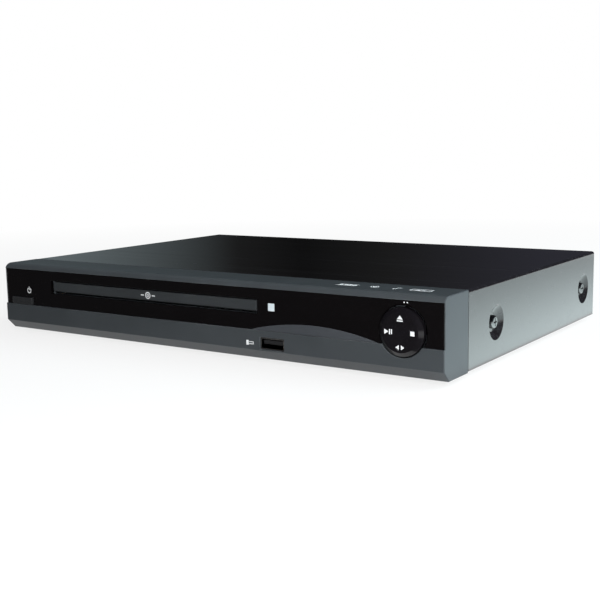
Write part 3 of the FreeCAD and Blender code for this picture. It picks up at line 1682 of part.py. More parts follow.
def make_pickup_body():
    front = lens_y - pickup_front
    back = lens_y + pickup_back
    body = block(-pickup_half, pickup_half, front, back, pickup_low, pickup_high)
    notch = rod("z", spindle_motor_radius + pickup_notch_gap, pickup_low - cut_over,
                pickup_high + cut_over, 0, spindle_y)
    arm_out = rod_half + arm_reach
    y0 = lens_y + pickup_back / 4 - arm_half
    y1 = y0 + 2 * arm_half
    arms = both_sides(block(pickup_half - arm_reach, arm_out, y0, y1, rod_z - arm_drop, rod_z + arm_rise))
    middle = (y0 + y1) / 2
    nut = block(-screw_offset - nut_over, -rod_half - arm_reach / 2, middle - nut_half, middle + nut_half,
                lead_z - nut_drop,
                lead_z + nut_rise)
    yokes = []
    near = lens_depth_half + yoke_gap
    for y in (lens_y - near - yoke_sheet, lens_y + near):
        yokes.append(block(-yoke_half, yoke_half, y, y + yoke_sheet, pickup_high - yoke_sheet,
                           pickup_high + yoke_rise))
    shape = join(carve(body, notch), nut, *arms, *yokes)
    bores = [rod("y", rod_radius + rod_fit, y0 - cut_over, y1 + cut_over, side * rod_half,
                 rod_z) for side in (-1, 1)]
    fork = block(rod_half, arm_out + cut_over, y0 - cut_over, y1 + cut_over, rod_z - rod_radius - rod_fit,
                 rod_z + rod_radius + rod_fit)
    thread = rod("y", lead_radius + rod_fit, middle - nut_half - cut_over, middle + nut_half + cut_over,
                 -screw_offset, lead_z)
    return carve(shape, *bores, fork, thread)


def make_lens_holder():
    holder = block(-lens_half, lens_half, lens_y - lens_depth_half, lens_y + lens_depth_half, lens_low,
                   lens_low + lens_block)
    return carve(holder, rod("z", objective_radius + screw_fit, lens_low + lens_block / 2,
                             lens_low + lens_block + cut_over, 0, lens_y))


def make_objective_lens():
    low = lens_low + lens_block / 2
    high = lens_low + lens_block
    barrel = rod("z", objective_radius, low, high, 0, lens_y)
    radius = (objective_radius ** 2 + objective_rise ** 2) / (2 * objective_rise)
    dome = Part.makeSphere(radius, Vector(0, lens_y, high + objective_rise - radius))
    return join(barrel, dome.common(rod("z", objective_radius, high, high + 2 * objective_rise, 0, lens_y)))


def make_cam_slider():
    wall = block(-cam_left, cam_right, cam_middle - cam_wall / 2, cam_middle + cam_wall / 2, cam_low,
                 cam_low + cam_rise)
    foot = block(-cam_left, cam_right, cam_back - cam_foot_depth, cam_back, cam_low,
                 cam_low + cam_foot_sheet)
    radius = lift_pin_radius + cam_slot_gap
    length = math.hypot(cam_travel, cam_drop)
    across = Vector(cam_drop / length * radius, 0, -cam_travel / length * radius)
    y0 = cam_middle - cam_wall
    y1 = cam_middle + cam_wall
    low = Vector(-cam_travel, y0, lift_pin_height - cam_drop)
    high = Vector(0, y0, lift_pin_height)
    corners = [low + across, high + across, high - across, low - across]
    lane = Part.Face(Part.makePolygon(corners + corners[:1])).extrude(Vector(0, y1 - y0, 0))
    ends = [rod("y", radius, y0, y1, spot.x, spot.z) for spot in (low, high)]
    return carve(join(wall, foot), join(lane, *ends))


# Each piece is built where it sits, then moved so that the origin lies under the middle of the whole part
case_pieces = {
    "base_pan": make_base_pan, "top_cover": make_top_cover, "feet": make_feet,
    "cover_screws": make_cover_screws, "internal_screws": make_internal_screws,
    "front_bezel": make_front_bezel, "window_panel": make_window_panel,
    "accent_arc": make_accent_arc, "status_lens": make_status_lens,
    "power_button": make_power_button, "switch_plunger": make_switch_plunger,
    "power_switch": make_power_switch, "control_disc": make_control_disc,
    "rocker_gimbal": make_rocker_gimbal, "front_board": make_front_board,
    "tact_switches": make_tact_switches, "display_module": make_display_module,
    "remote_receiver": make_remote_receiver, "usb_shell": make_usb_shell,
    "socket_tongues": make_socket_tongues, "ribbon_cable": make_ribbon_cable,
    "main_board": make_main_board, "decoder_chip": make_decoder_chip, "heat_sink": make_heat_sink,
    "capacitors": make_capacitors, "hdmi_shell": make_hdmi_shell, "jack_housing": make_jack_housing,
    "jack_shells": make_jack_shells, "supply_board": make_supply_board,
    "transformer": make_transformer, "mains_inlet": make_mains_inlet, "inlet_pins": make_inlet_pins,
}
loader_pieces = {
    "tray": make_tray, "tray_door": make_tray_door, "tray_gear": make_tray_gear,
    "pulley_gear": make_pulley_gear, "motor_pulley": make_motor_pulley,
    "drive_belt": make_drive_belt, "loading_motor": make_loading_motor,
    "loader_frame": make_loader_frame, "cam_slider": make_cam_slider,
    "clamp_bridge": make_clamp_bridge, "clamp_puck": make_clamp_puck, "clamp_yoke": make_clamp_yoke,
    "lift_frame": make_lift_frame, "traverse_plate": make_traverse_plate, "dampers": make_dampers,
    "damper_screws": make_damper_screws, "spindle_motor": make_spindle_motor,
    "turntable": make_turntable, "guide_rods": make_guide_rods, "rod_clips": make_rod_clips,
    "sled_motor": make_sled_motor, "lead_screw": make_lead_screw, "pickup_body": make_pickup_body,
    "lens_holder": make_lens_holder, "objective_lens": make_objective_lens,
}
jack_rings = ("video_ring", "left_ring", "right_ring")


def build():
    os.makedirs("parts", exist_ok=True)
    shapes = {name: make() for name, make in case_pieces.items()}
    for number, name in enumerate(jack_rings[:jack_count]):
        shapes[name] = make_jack_ring(number)
    for name, make in loader_pieces.items():
        shapes[name] = make().translated(Vector(tray_axis, 0, 0))
    for name, shape in shapes.items():
        shape.translated(Vector(0, -depth_middle, 0)).exportStep(f"parts/{name}.step")
    return shapes


if __name__ == "__main__":
    build()
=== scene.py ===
import bmesh
import bpy
import math
from mathutils import Matrix, Vector
from mathutils.bvhtree import BVHTree


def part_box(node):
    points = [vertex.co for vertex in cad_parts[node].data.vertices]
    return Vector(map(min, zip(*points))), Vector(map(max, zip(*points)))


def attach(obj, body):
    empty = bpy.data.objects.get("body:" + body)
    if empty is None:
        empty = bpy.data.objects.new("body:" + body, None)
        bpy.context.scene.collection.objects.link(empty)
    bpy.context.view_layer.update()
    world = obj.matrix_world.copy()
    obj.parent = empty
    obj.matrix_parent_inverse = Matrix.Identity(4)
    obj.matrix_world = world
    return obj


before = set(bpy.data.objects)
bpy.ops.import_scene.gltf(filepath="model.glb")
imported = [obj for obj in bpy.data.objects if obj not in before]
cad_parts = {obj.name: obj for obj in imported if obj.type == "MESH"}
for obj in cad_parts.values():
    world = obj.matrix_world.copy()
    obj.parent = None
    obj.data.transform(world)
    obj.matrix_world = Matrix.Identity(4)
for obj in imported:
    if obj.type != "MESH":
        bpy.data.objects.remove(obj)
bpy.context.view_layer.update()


# Base pan: the floor and rear wall that everything is screwed to, folded from one blank of zinc-coated sheet
# steel. Hot-dip zinc freezes in crystals about 9 mm across, so the sheet is patchy, with rolling lines along
# its width. The same sheet is stamped into the disc clamp's bridge and the traverse plate of the loader.

def linear(code):
    """Linear colour of an sRGB hex code."""
    shares = [int(code[i:i + 2], 16) / 255 for i in (1, 3, 5)]
    return [s / 12.92 if s <= 0.04045 else ((s + 0.055) / 1.055) ** 2.4 for s in shares] + [1.0]


def add(tree, kind, inputs=(), **settings):
    """Adds a node; inputs gives each socket a value or the output that feeds it, settings its properties."""
    made = tree.nodes.new(kind)
    for name, value in settings.items():
        setattr(made, name, value)
    for socket, value in dict(inputs).items():
        if isinstance(value, bpy.types.NodeSocket):
            tree.links.new(value, made.inputs[socket])
        else:
            made.inputs[socket].default_value = value
    return made


def per_mm(size):
    """Texture scale that makes a pattern's features this many millimetres wide."""
    return 1000 / size


def start(name):
    """A new material: its node tree, its shader, and the place on the piece in metres."""
    made = bpy.data.materials.new(name)
    made.use_nodes = True
    tree = made.node_tree
    return made, tree, tree.nodes["Principled BSDF"], add(tree, "ShaderNodeTexCoord").outputs["Object"]


def dress(material, *nodes):
    """Puts a material on solids of the frame."""
    for name in nodes:
        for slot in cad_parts[name].material_slots:
            slot.material = material


def zinc_sheet(name, pale, dark, spangle_mm):
    """Hot-dip zinc on rolled steel: crystal patches that differ in tone and gloss, and long fine rolling lines."""
    made, tree, shader, place = start(name)
    crystals = add(tree, "ShaderNodeTexVoronoi", {"Vector": place, "Scale": per_mm(spangle_mm)})
    tone = add(tree, "ShaderNodeRGBToBW", {0: crystals.outputs["Color"]}).outputs[0]
    colour = add(tree, "ShaderNodeMix", {0: tone, 6: linear(dark), 7: linear(pale)}, data_type="RGBA")
    along = add(tree, "ShaderNodeMapping", {"Vector": place, "Scale": (0.04, 1.0, 1.0)})
    lines = add(tree, "ShaderNodeTexNoise", {"Vector": along.outputs[0], "Scale": per_mm(0.5), "Detail": 4.0})
    gloss = add(tree, "ShaderNodeMath", {0: tone, 1: 0.2, 2: 0.26}, operation="MULTIPLY_ADD")
    rough = add(tree, "ShaderNodeMath", {0: lines.outputs[0], 1: 0.12, 2: gloss.outputs[0]},
                operation="MULTIPLY_ADD")
    edge = add(tree, "ShaderNodeBevel", {"Radius": 0.0003}, samples=4)
    bump = add(tree, "ShaderNodeBump", {"Strength": 0.35, "Distance": 0.00002, "Height": lines.outputs[0],
                                        "Normal": edge.outputs[0]})
    tree.links.new(colour.outputs[2], shader.inputs["Base Color"])
    tree.links.new(rough.outputs[0], shader.inputs["Roughness"])
    tree.links.new(bump.outputs[0], shader.inputs["Normal"])
    shader.inputs["Metallic"].default_value = 1.0
    return made


dress(zinc_sheet("zinc_coated_steel_spangled", "#C9CCCE", "#A4A8AB", 9.0), "base_pan", "clamp_bridge",
      "traverse_plate")


# Rubber feet: four moulded EPDM buttons whose barbed nubs are pulled through holes in the pan.
# Matt, slightly dusty black, with the fine bloom that moulded rubber has. The drive belt and the loader's
# dampers are the same kind of rubber, softer and cleaner.

def rubber(name, dark, dust, bloom_mm):
    """Moulded rubber: very rough, a grey bloom in soft patches and a fine pebbled skin."""
    made, tree, shader, place = start(name)
    bloom = add(tree, "ShaderNodeTexNoise", {"Vector": place, "Scale": per_mm(bloom_mm), "Detail": 5.0})
    patch = add(tree, "ShaderNodeMapRange", {0: bloom.outputs[0], 1: 0.42, 2: 0.75, 3: 0.0, 4: 0.6})
    colour = add(tree, "ShaderNodeMix", {0: patch.outputs[0], 6: linear(dark), 7: linear(dust)},
                 data_type="RGBA")
    skin = add(tree, "ShaderNodeTexNoise", {"Vector": place, "Scale": per_mm(0.25), "Detail": 2.0})
    rough = add(tree, "ShaderNodeMath", {0: skin.outputs[0], 1: 0.2, 2: 0.66}, operation="MULTIPLY_ADD")
    bump = add(tree, "ShaderNodeBump", {"Strength": 0.4, "Distance": 0.00004, "Height": skin.outputs[0]})
    tree.links.new(colour.outputs[2], shader.inputs["Base Color"])
    tree.links.new(rough.outputs[0], shader.inputs["Roughness"])
    tree.links.new(bump.outputs[0], shader.inputs["Normal"])
    shader.inputs["IOR"].default_value = 1.52
    return made


dress(rubber("epdm_rubber_moulded", "#1B1B1C", "#3A3A39", 5.0), "feet")
dress(rubber("soft_rubber_clean", "#161617", "#232324", 2.0), "drive_belt", "dampers")


# Internal screws: self-tapping steel screws that hold the boards and the loader to the pan's bosses.
# Rolled and zinc plated, so they are bright, a little yellow, with turning rings round each head.

def plated_steel(name, pale, dark, rough_low, rough_high, line_mm):
    """Plated steel: even metal with a cloudy tarnish, and fine lines left by the tool along one direction."""
    made, tree, shader, place = start(name)
    cloud = add(tree, "ShaderNodeTexNoise", {"Vector": place, "Scale": per_mm(4.0), "Detail": 4.0})
    colour = add(tree, "ShaderNodeMix", {0: cloud.outputs[0], 6: linear(dark), 7: linear(pale)},
                 data_type="RGBA")
    along = add(tree, "ShaderNodeMapping", {"Vector": place, "Scale": (1.0, 0.08, 1.0)})
    lines = add(tree, "ShaderNodeTexNoise", {"Vector": along.outputs[0], "Scale": per_mm(line_mm),
                                             "Detail": 3.0})
    rough = add(tree, "ShaderNodeMapRange", {0: lines.outputs[0], 1: 0.3, 2: 0.7, 3: rough_low,
                                             4: rough_high})
    edge = add(tree, "ShaderNodeBevel", {"Radius": 0.0002}, samples=4)
    bump = add(tree, "ShaderNodeBump", {"Strength": 0.25, "Distance": 0.00001, "Height": lines.outputs[0],
                                        "Normal": edge.outputs[0]})
    tree.links.new(colour.outputs[2], shader.inputs["Base Color"])
    tree.links.new(rough.outputs[0], shader.inputs["Roughness"])
    tree.links.new(bump.outputs[0], shader.inputs["Normal"])
    shader.inputs["Metallic"].default_value = 1.0
    return made


dress(plated_steel("zinc_plated_steel_screw", "#CFCDC2", "#ADABA0", 0.22, 0.42, 0.3), "internal_screws",
      "damper_screws")


# Supply board: brown phenolic paper laminate, the cheap single-sided board that mains supplies are built on.
# Sawn from sheet, with a mottled paper core, and stood off the pan on bosses along the left side.

def laminate(name, core, mask, track_mm, track_share):
    """Printed board: resin-soaked core, and copper tracks that show as paler bands under the mask."""
    made, tree, shader, place = start(name)
    mottle = add(tree, "ShaderNodeTexNoise", {"Vector": place, "Scale": per_mm(1.5), "Detail": 6.0})
    body = add(tree, "ShaderNodeMix", {0: mottle.outputs[0], 6: linear(core), 7: linear(mask)},
               data_type="RGBA")
    tracks = add(tree, "ShaderNodeTexBrick", {"Vector": place, "Color1": (0, 0, 0, 1), "Color2": (0.2, 0.2,
                                                                                                  0.2, 1),
                                              "Mortar": (1, 1, 1, 1), "Scale": per_mm(track_mm),
                                              "Mortar Size": track_share, "Mortar Smooth": 0.1,
                                              "Brick Width": 2.6, "Row Height": 0.9}, offset=0.37)
    band = add(tree, "ShaderNodeMath", {0: tracks.outputs["Color"], 1: 0.5}, operation="MULTIPLY")
    paler = [min(1.0, c * 1.7) for c in linear(mask)[:3]] + [1.0]
    colour = add(tree, "ShaderNodeMix", {0: band.outputs[0], 6: body.outputs[2], 7: paler}, data_type="RGBA")
    bump = add(tree, "ShaderNodeBump", {"Strength": 0.5, "Distance": 0.00003,
                                        "Height": tracks.outputs["Color"]})
    rough = add(tree, "ShaderNodeMath", {0: mottle.outputs[0], 1: 0.2, 2: 0.28}, operation="MULTIPLY_ADD")
    tree.links.new(colour.outputs[2], shader.inputs["Base Color"])
    tree.links.new(rough.outputs[0], shader.inputs["Roughness"])
    tree.links.new(bump.outputs[0], shader.inputs["Normal"])
    return made


dress(laminate("phenolic_paper_board", "#8A6235", "#A67B45", 3.4, 0.11), "supply_board")


# Transformer: ferrite core, fired black ceramic, round a coil that is wrapped in yellow polyester tape.
# Glued together and soldered to the supply board; the tape's turns show as faint steps 0.8 mm apart.

made, tree, shader, place = start("ferrite_and_polyester_tape")
low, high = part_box("transformer")
middle = (low + high) / 2
apart = add(tree, "ShaderNodeSeparateXYZ", {0: place})
ahead = add(tree, "ShaderNodeMath", {0: apart.outputs["Y"], 1: -middle.y}, operation="ADD")
away = add(tree, "ShaderNodeMath", {0: ahead.outputs[0]}, operation="ABSOLUTE")
coil = add(tree, "ShaderNodeMath", {0: away.outputs[0], 1: (high.y - low.y) * 0.32}, operation="LESS_THAN")
turns = add(tree, "ShaderNodeTexWave", {"Vector": place, "Scale": per_mm(0.8) / 20, "Distortion": 0.4},
            bands_direction="Z")
sinter = add(tree, "ShaderNodeTexNoise", {"Vector": place, "Scale": per_mm(0.4), "Detail": 5.0})
tape = add(tree, "ShaderNodeMix", {0: turns.outputs["Fac"], 6: linear("#B9931E"), 7: linear("#D8B53A")},
           data_type="RGBA")
ferrite = add(tree, "ShaderNodeMix", {0: sinter.outputs[0], 6: linear("#262628"), 7: linear("#3B3B3E")},
              data_type="RGBA")
colour = add(tree, "ShaderNodeMix", {0: coil.outputs[0], 6: ferrite.outputs[2], 7: tape.outputs[2]},
             data_type="RGBA")
rough = add(tree, "ShaderNodeMapRange", {0: coil.outputs[0], 3: 0.7, 4: 0.3})
bump = add(tree, "ShaderNodeBump", {"Strength": 0.4, "Distance": 0.00005, "Height": sinter.outputs[0]})
tree.links.new(colour.outputs[2], shader.inputs["Base Color"])
tree.links.new(rough.outputs[0], shader.inputs["Roughness"])
tree.links.new(bump.outputs[0], shader.inputs["Normal"])
dress(made, "transformer")


# Capacitors: aluminium cans in a shrunk sleeve of dark blue film, with the bare can showing on the flat top.
# The sleeve is glossy and slightly rippled; the top is scored so that it can vent.

made, tree, shader, place = start("pvc_sleeve_over_aluminium_can")
facing = add(tree, "ShaderNodeSeparateXYZ", {0: add(tree, "ShaderNodeNewGeometry").outputs["Normal"]})
lid = add(tree, "ShaderNodeMath", {0: facing.outputs["Z"], 1: 0.9}, operation="GREATER_THAN")
ripple = add(tree, "ShaderNodeTexNoise", {"Vector": place, "Scale": per_mm(2.0), "Detail": 2.0})
film = add(tree, "ShaderNodeMix", {0: ripple.outputs[0], 6: linear("#141A2C"), 7: linear("#232C47")},
           data_type="RGBA")
colour = add(tree, "ShaderNodeMix", {0: lid.outputs[0], 6: film.outputs[2], 7: linear("#C4C7C9")},
             data_type="RGBA")
rough = add(tree, "ShaderNodeMath", {0: ripple.outputs[0], 1: 0.14, 2: 0.18}, operation="MULTIPLY_ADD")
bump = add(tree, "ShaderNodeBump", {"Strength": 0.3, "Distance": 0.00004, "Height": ripple.outputs[0]})
tree.links.new(colour.outputs[2], shader.inputs["Base Color"])
tree.links.new(lid.outputs[0], shader.inputs["Metallic"])
tree.links.new(rough.outputs[0], shader.inputs["Roughness"])
tree.links.new(bump.outputs[0], shader.inputs["Normal"])
dress(made, "capacitors")


# Mains inlet and switch: black glass-filled PBT housings, moulded in one shot and soldered to the supply
# board. Glass fibre near the skin makes the black greyish and slightly streaked; mould edges are a touch
# paler. The same family of plastics makes the sockets' tongues, the jack block and the other small moulded
# parts.

def moulded(name, body, streak, edge, grain_mm, grain_deep_mm, rough_low, rough_high, specular=0.5,
            wear_and_highlight=0.35):
    """Moulded plastic: soft flow streaks, the grain of the mould's face, and smoother edges painted paler, partly
    as rubbing wear and partly as a painted highlight.
    """
    made, tree, shader, place = start(name)
    flow = add(tree, "ShaderNodeTexNoise", {"Vector": place, "Scale": per_mm(28.0), "Detail": 4.0,
                                            "Distortion": 0.6})
    share = add(tree, "ShaderNodeMapRange", {0: flow.outputs[0], 1: 0.3, 2: 0.7, 3: 0.0, 4: 1.0})
    base = add(tree, "ShaderNodeMix", {0: share.outputs[0], 6: linear(body), 7: linear(streak)},
               data_type="RGBA")
    grain = add(tree, "ShaderNodeTexNoise", {"Vector": place, "Scale": per_mm(grain_mm), "Detail": 3.0,
                                             "Roughness": 0.6})
    # Paler edges: a bevel mask paints the rounded edges in the edge colour, partly as rubbing wear and partly as a
    # painted highlight where the edges would catch light.
    corner = add(tree, "ShaderNodeBevel", {"Radius": 0.00035}, samples=6)
    true = add(tree, "ShaderNodeNewGeometry").outputs["Normal"]
    turn = add(tree, "ShaderNodeVectorMath", {0: corner.outputs[0], 1: true}, operation="DOT_PRODUCT")
    rub_and_highlight = add(tree, "ShaderNodeMapRange", {0: turn.outputs["Value"], 1: 0.995, 2: 0.86, 3: 0.0, 4: wear_and_highlight})
    patchy = add(tree, "ShaderNodeMath", {0: rub_and_highlight.outputs[0], 1: share.outputs[0]}, operation="MULTIPLY")
    colour = add(tree, "ShaderNodeMix", {0: patchy.outputs[0], 6: base.outputs[2], 7: linear(edge)},
                 data_type="RGBA")
    rough = add(tree, "ShaderNodeMapRange", {0: grain.outputs[0], 1: 0.3, 2: 0.7, 3: rough_low,
                                             4: rough_high})
    bump = add(tree, "ShaderNodeBump", {"Strength": 0.6, "Distance": grain_deep_mm / 1000,
                                        "Height": grain.outputs[0], "Normal": corner.outputs[0]})
    tree.links.new(colour.outputs[2], shader.inputs["Base Color"])
    tree.links.new(rough.outputs[0], shader.inputs["Roughness"])
    tree.links.new(bump.outputs[0], shader.inputs["Normal"])
    shader.inputs["IOR"].default_value = 1.53
    shader.inputs["Specular IOR Level"].default_value = specular
    return made


dress(moulded("pbt_glass_filled_black", "#1D1D1E", "#262628", "#4A4A4C", 0.2, 0.02, 0.42, 0.6), "mains_inlet",
      "power_switch", "jack_housing")


# Inlet pins: two solid brass pins pressed into the inlet's back wall, nickel worn off where the plug rubs.
# Drawn bar, so the lines run along each pin.

dress(plated_steel("brass_pin_drawn", "#D9BF7C", "#B99A52", 0.2, 0.36, 0.3), "inlet_pins")


# Main board: four-layer glass-epoxy board under green solder mask, on bosses along the right side.
# Etched, masked and printed; the copper tracks show through the mask as lighter bands 0.3 to 0.5 mm wide,
# drawn coarser here so that they show at all. The front board is the same laminate.

dress(laminate("glass_epoxy_green_mask", "#0E3B21", "#17522F", 2.6, 0.1), "main_board", "front_board")


# Decoder chip and small moulded electronics: black epoxy transfer-moulded round the silicon, matt and pitted.
# The key switches, display body and infrared receiver on the front board are the same kind of moulding.

dress(moulded("epoxy_mould_compound", "#1A1A1B", "#242425", "#3C3C3D", 0.12, 0.02, 0.5, 0.7), "decoder_chip",
      "tact_switches", "display_module", "remote_receiver", "socket_tongues")


# Heat sink: extruded aluminium with the saw's lines across its fins, glued to the chip.
# Die-cast metal of the pickup's body is greyer and coarser, with a sandy skin.

def bare_aluminium(name, pale, dark, line_mm, stretch, rough_low, rough_high, deep_mm):
    """Bare aluminium: die lines or cast skin, in a light grey that differs a little from place to place."""
    made, tree, shader, place = start(name)
    along = add(tree, "ShaderNodeMapping", {"Vector": place, "Scale": stretch})
    lines = add(tree, "ShaderNodeTexNoise", {"Vector": along.outputs[0], "Scale": per_mm(line_mm),
                                             "Detail": 5.0})
    colour = add(tree, "ShaderNodeMix", {0: lines.outputs[0], 6: linear(dark), 7: linear(pale)},
                 data_type="RGBA")
    rough = add(tree, "ShaderNodeMapRange", {0: lines.outputs[0], 1: 0.3, 2: 0.7, 3: rough_low,
                                             4: rough_high})
    bump = add(tree, "ShaderNodeBump", {"Strength": 0.4, "Distance": deep_mm / 1000,
                                        "Height": lines.outputs[0]})
    tree.links.new(colour.outputs[2], shader.inputs["Base Color"])
    tree.links.new(rough.outputs[0], shader.inputs["Roughness"])
    tree.links.new(bump.outputs[0], shader.inputs["Normal"])
    shader.inputs["Metallic"].default_value = 1.0
    return made


dress(bare_aluminium("aluminium_extruded_sawn", "#D2D4D6", "#B4B7BA", 0.4, (1.0, 0.05, 1.0), 0.25, 0.45,
                     0.02),
      "heat_sink")
dress(bare_aluminium("aluminium_die_cast", "#B9BBBD", "#98999C", 0.5, (1.0, 1.0, 1.0), 0.4, 0.6, 0.04),
      "pickup_body")


# Socket shells: USB and HDMI cans folded from nickel-plated steel strip, and the phono jacks' turned sleeves.
# Bright, with a faint warm tint and fine lines from the strip. The loader's ground rods are as bright.

dress(plated_steel("nickel_plated_steel_bright", "#D8D6D0", "#BFBDB7", 0.1, 0.24, 0.2), "usb_shell",
      "hdmi_shell",
      "jack_shells", "guide_rods", "lead_screw")
dress(plated_steel("nickel_plated_steel_drawn", "#BFBFBD", "#A3A3A1", 0.24, 0.4, 0.3), "loading_motor",
      "spindle_motor", "sled_motor", "clamp_yoke")


# Contacts: four gold-plated springs under the USB tongue, which the plug's own contacts rub along.
# Stamped from phosphor bronze strip 1 mm wide and set into grooves of the tongue; each nose is rounded.

def loft(name, body, material, sections):
    """A closed mesh through rings of points in millimetres, capped at both ends."""
    mesh = bpy.data.meshes.new(name)
    work = bmesh.new()
    rings = [[work.verts.new(Vector(point) / 1000) for point in ring] for ring in sections]
    for near, far in zip(rings, rings[1:]):
        for i in range(len(near)):
            work.faces.new((near[i - 1], near[i], far[i], far[i - 1]))
    work.faces.new(rings[0][::-1])
    work.faces.new(rings[-1])
    bmesh.ops.recalc_face_normals(work, faces=work.faces)
    work.to_mesh(mesh)
    work.free()
    piece = bpy.data.objects.new(name, mesh)
    bpy.context.scene.collection.objects.link(piece)
    mesh.materials.append(material)
    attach(piece, body)


gold = plated_steel("gold_plated_bronze", "#E2B857", "#C79A3C", 0.15, 0.3, 0.2)
low, high = (corner * 1000 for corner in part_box("usb_shell"))
contact_middle = (low.x + high.x) / 2
contact_places = (-3.5, -1.0, 1.0, 3.5)
contact_half, contact_sheet, contact_nose = 0.5, 0.2, 0.7
tongue_reach = 3.0
tongue_low = min(v.co.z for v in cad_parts["socket_tongues"].data.vertices
                 if v.co.y < (low.y + tongue_reach) / 1000) * 1000
contact_front, contact_long = low.y + 2.2, 8.0
nose_steps = 4
for number, offset in enumerate(contact_places, 1):
    x = contact_middle + offset
    rings = [(contact_front + contact_nose * (1 - math.cos(math.pi / 2 * step / nose_steps)),
              contact_half * min(1.0, 0.6 + 0.4 * step / 3)) for step in range(nose_steps + 1)]
    rings.append((contact_front + contact_long, contact_half))
    sections = [[(x - h, y, tongue_low), (x + h, y, tongue_low), (x + h * 0.8, y, tongue_low - contact_sheet),
                 (x - h * 0.8, y, tongue_low - contact_sheet)] for y, h in rings]
    loft(f"usb_contact_{number}", "case", gold, sections)


# Colour rings: ABS collars round the phono jacks, moulded in yellow, white and red to tell the leads apart.
# Glossy as moulded, with slightly translucent pigment that pools darker in the flow.

dress(moulded("abs_gloss_yellow", "#D9A915", "#E5B71E", "#F0CE5A", 0.6, 0.006, 0.2, 0.3), "video_ring")
dress(moulded("abs_gloss_white", "#D9D9D4", "#E4E4DF", "#F2F2EE", 0.6, 0.006, 0.2, 0.3), "left_ring")
dress(moulded("abs_gloss_red", "#A81818", "#B92020", "#D05048", 0.6, 0.006, 0.2, 0.3), "right_ring")


# Ribbon cable: flat conductors laminated in white polyester film, from the main board to the front board.
# The conductors lie 1 mm apart and show through as grey lines.

made, tree, shader, place = start("polyester_film_ribbon")
lanes = add(tree, "ShaderNodeTexWave", {"Vector": place, "Scale": per_mm(1.0) / 20}, bands_direction="X",
            wave_profile="SIN")
lane = add(tree, "ShaderNodeMapRange", {0: lanes.outputs["Fac"], 1: 0.35, 2: 0.6, 3: 0.0, 4: 1.0})
colour = add(tree, "ShaderNodeMix", {0: lane.outputs[0], 6: linear("#E4E4E0"), 7: linear("#A9ABAC")},
             data_type="RGBA")
bump = add(tree, "ShaderNodeBump", {"Strength": 0.4, "Distance": 0.00004, "Height": lane.outputs[0]})
tree.links.new(colour.outputs[2], shader.inputs["Base Color"])
tree.links.new(bump.outputs[0], shader.inputs["Normal"])
shader.inputs["Roughness"].default_value = 0.32
dress(made, "ribbon_cable")


# Loader frame: the black ABS chassis of the tray mechanism, with the tray's guides moulded along both sides.
# The lift frame and turntable are moulded from the same plastic; the tray is smoother, because it is seen.

dress(moulded("abs_black_chassis", "#1E1E20", "#27272A", "#4B4B4E", 0.35, 0.02, 0.45, 0.62), "loader_frame",
      "lift_frame", "turntable", "lens_holder")


# Tray drive: gears, pulleys and the cam slider in black acetal (POM), which runs dry on steel and on itself.
# Moulded with a faint waxy sheen; the teeth's crests and other edges are painted a little paler, partly as rubbing
# wear and partly as a painted highlight.

dress(moulded("pom_black_moulded", "#1D1D1F", "#252527", "#4E4E50", 0.5, 0.008, 0.3, 0.42, wear_and_highlight=0.5),
      "tray_gear",
      "pulley_gear", "motor_pulley", "cam_slider")


# Clips, clamp puck, plunger and gimbal: natural acetal, a waxy off-white plastic.
# Light goes a little way in, so the edges look soft.

acetal = moulded("pom_natural_moulded", "#DAD7CC", "#E6E3D9", "#F3F1EA", 0.5, 0.008, 0.3, 0.42, wear_and_highlight=0.5)
shader = acetal.node_tree.nodes["Principled BSDF"]
shader.inputs["Subsurface Weight"].default_value = 0.15
shader.inputs["Subsurface Radius"].default_value = (0.001, 0.0009, 0.0007)
shader.inputs["Subsurface Scale"].default_value = 1.0
dress(acetal, "rod_clips", "clamp_puck", "switch_plunger", "rocker_gimbal")


# Objective lens: a moulded acrylic asphere with a violet anti-reflection coat, glued into the lens holder.
# It is clear, so the dark optics behind it show; the coat gives the reflections a blue-violet tint.

made, tree, shader, place = start("coated_lens_acrylic")
haze = add(tree, "ShaderNodeTexNoise", {"Vector": place, "Scale": per_mm(0.6), "Detail": 2.0})
rough = add(tree, "ShaderNodeMath", {0: haze.outputs[0], 1: 0.04, 2: 0.0}, operation="MULTIPLY_ADD")
colour = add(tree, "ShaderNodeMix", {0: haze.outputs[0], 6: linear("#5F6FA8"), 7: linear("#8F9CD0")},
             data_type="RGBA")
tree.links.new(colour.outputs[2], shader.inputs["Base Color"])
tree.links.new(rough.outputs[0], shader.inputs["Roughness"])
shader.inputs["IOR"].default_value = 1.49
shader.inputs["Transmission Weight"].default_value = 0.7
shader.inputs["Coat Weight"].default_value = 0.6
shader.inputs["Coat Tint"].default_value = linear("#B9A8F0")
dress(made, "objective_lens")


# Disc tray: black ABS with a shallow well for the disc, moulded with a fine matt face that doesn't scratch
# discs. It slides on the frame's guides; the well's rim catches fingers and is rubbed a little shiny.

dress(moulded("abs_black_tray_matt", "#1C1D1F", "#222426", "#46484B", 0.3, 0.012, 0.4, 0.52), "tray")


# Tray door: the satin grey ABS bar that closes the slot, clipped to the front of the tray.
# Fine spark-eroded face; the light falls off along its length.

dress(moulded("abs_satin_grey_door", "#303335", "#35383A", "#5C6064", 0.25, 0.008, 0.36, 0.46, specular=0.3),
      "tray_door")


# Front bezel: one ABS moulding in satin dark grey, with a 45 degree lower edge and a rounded head.
# Its mould was spark eroded, which leaves grain about 0.15 mm wide, drawn at 0.3 mm so that it shows.
# It hooks into the pan and the cover's front edge slides under it.

# Its pale edge colour, laid on at a share of 0.6, is a painted highlight along the rounded head and edges, with a
# little rubbing wear.
dress(moulded("abs_satin_grey_spark_eroded", "#393D40", "#3E4245", "#7C8284", 0.3, 0.012, 0.36, 0.48,
              specular=0.3,
              wear_and_highlight=0.6), "front_bezel")


# Accent arc: a separate ABS insert in the same grey, a little smoother, which stands in front of the gloss
# panel.

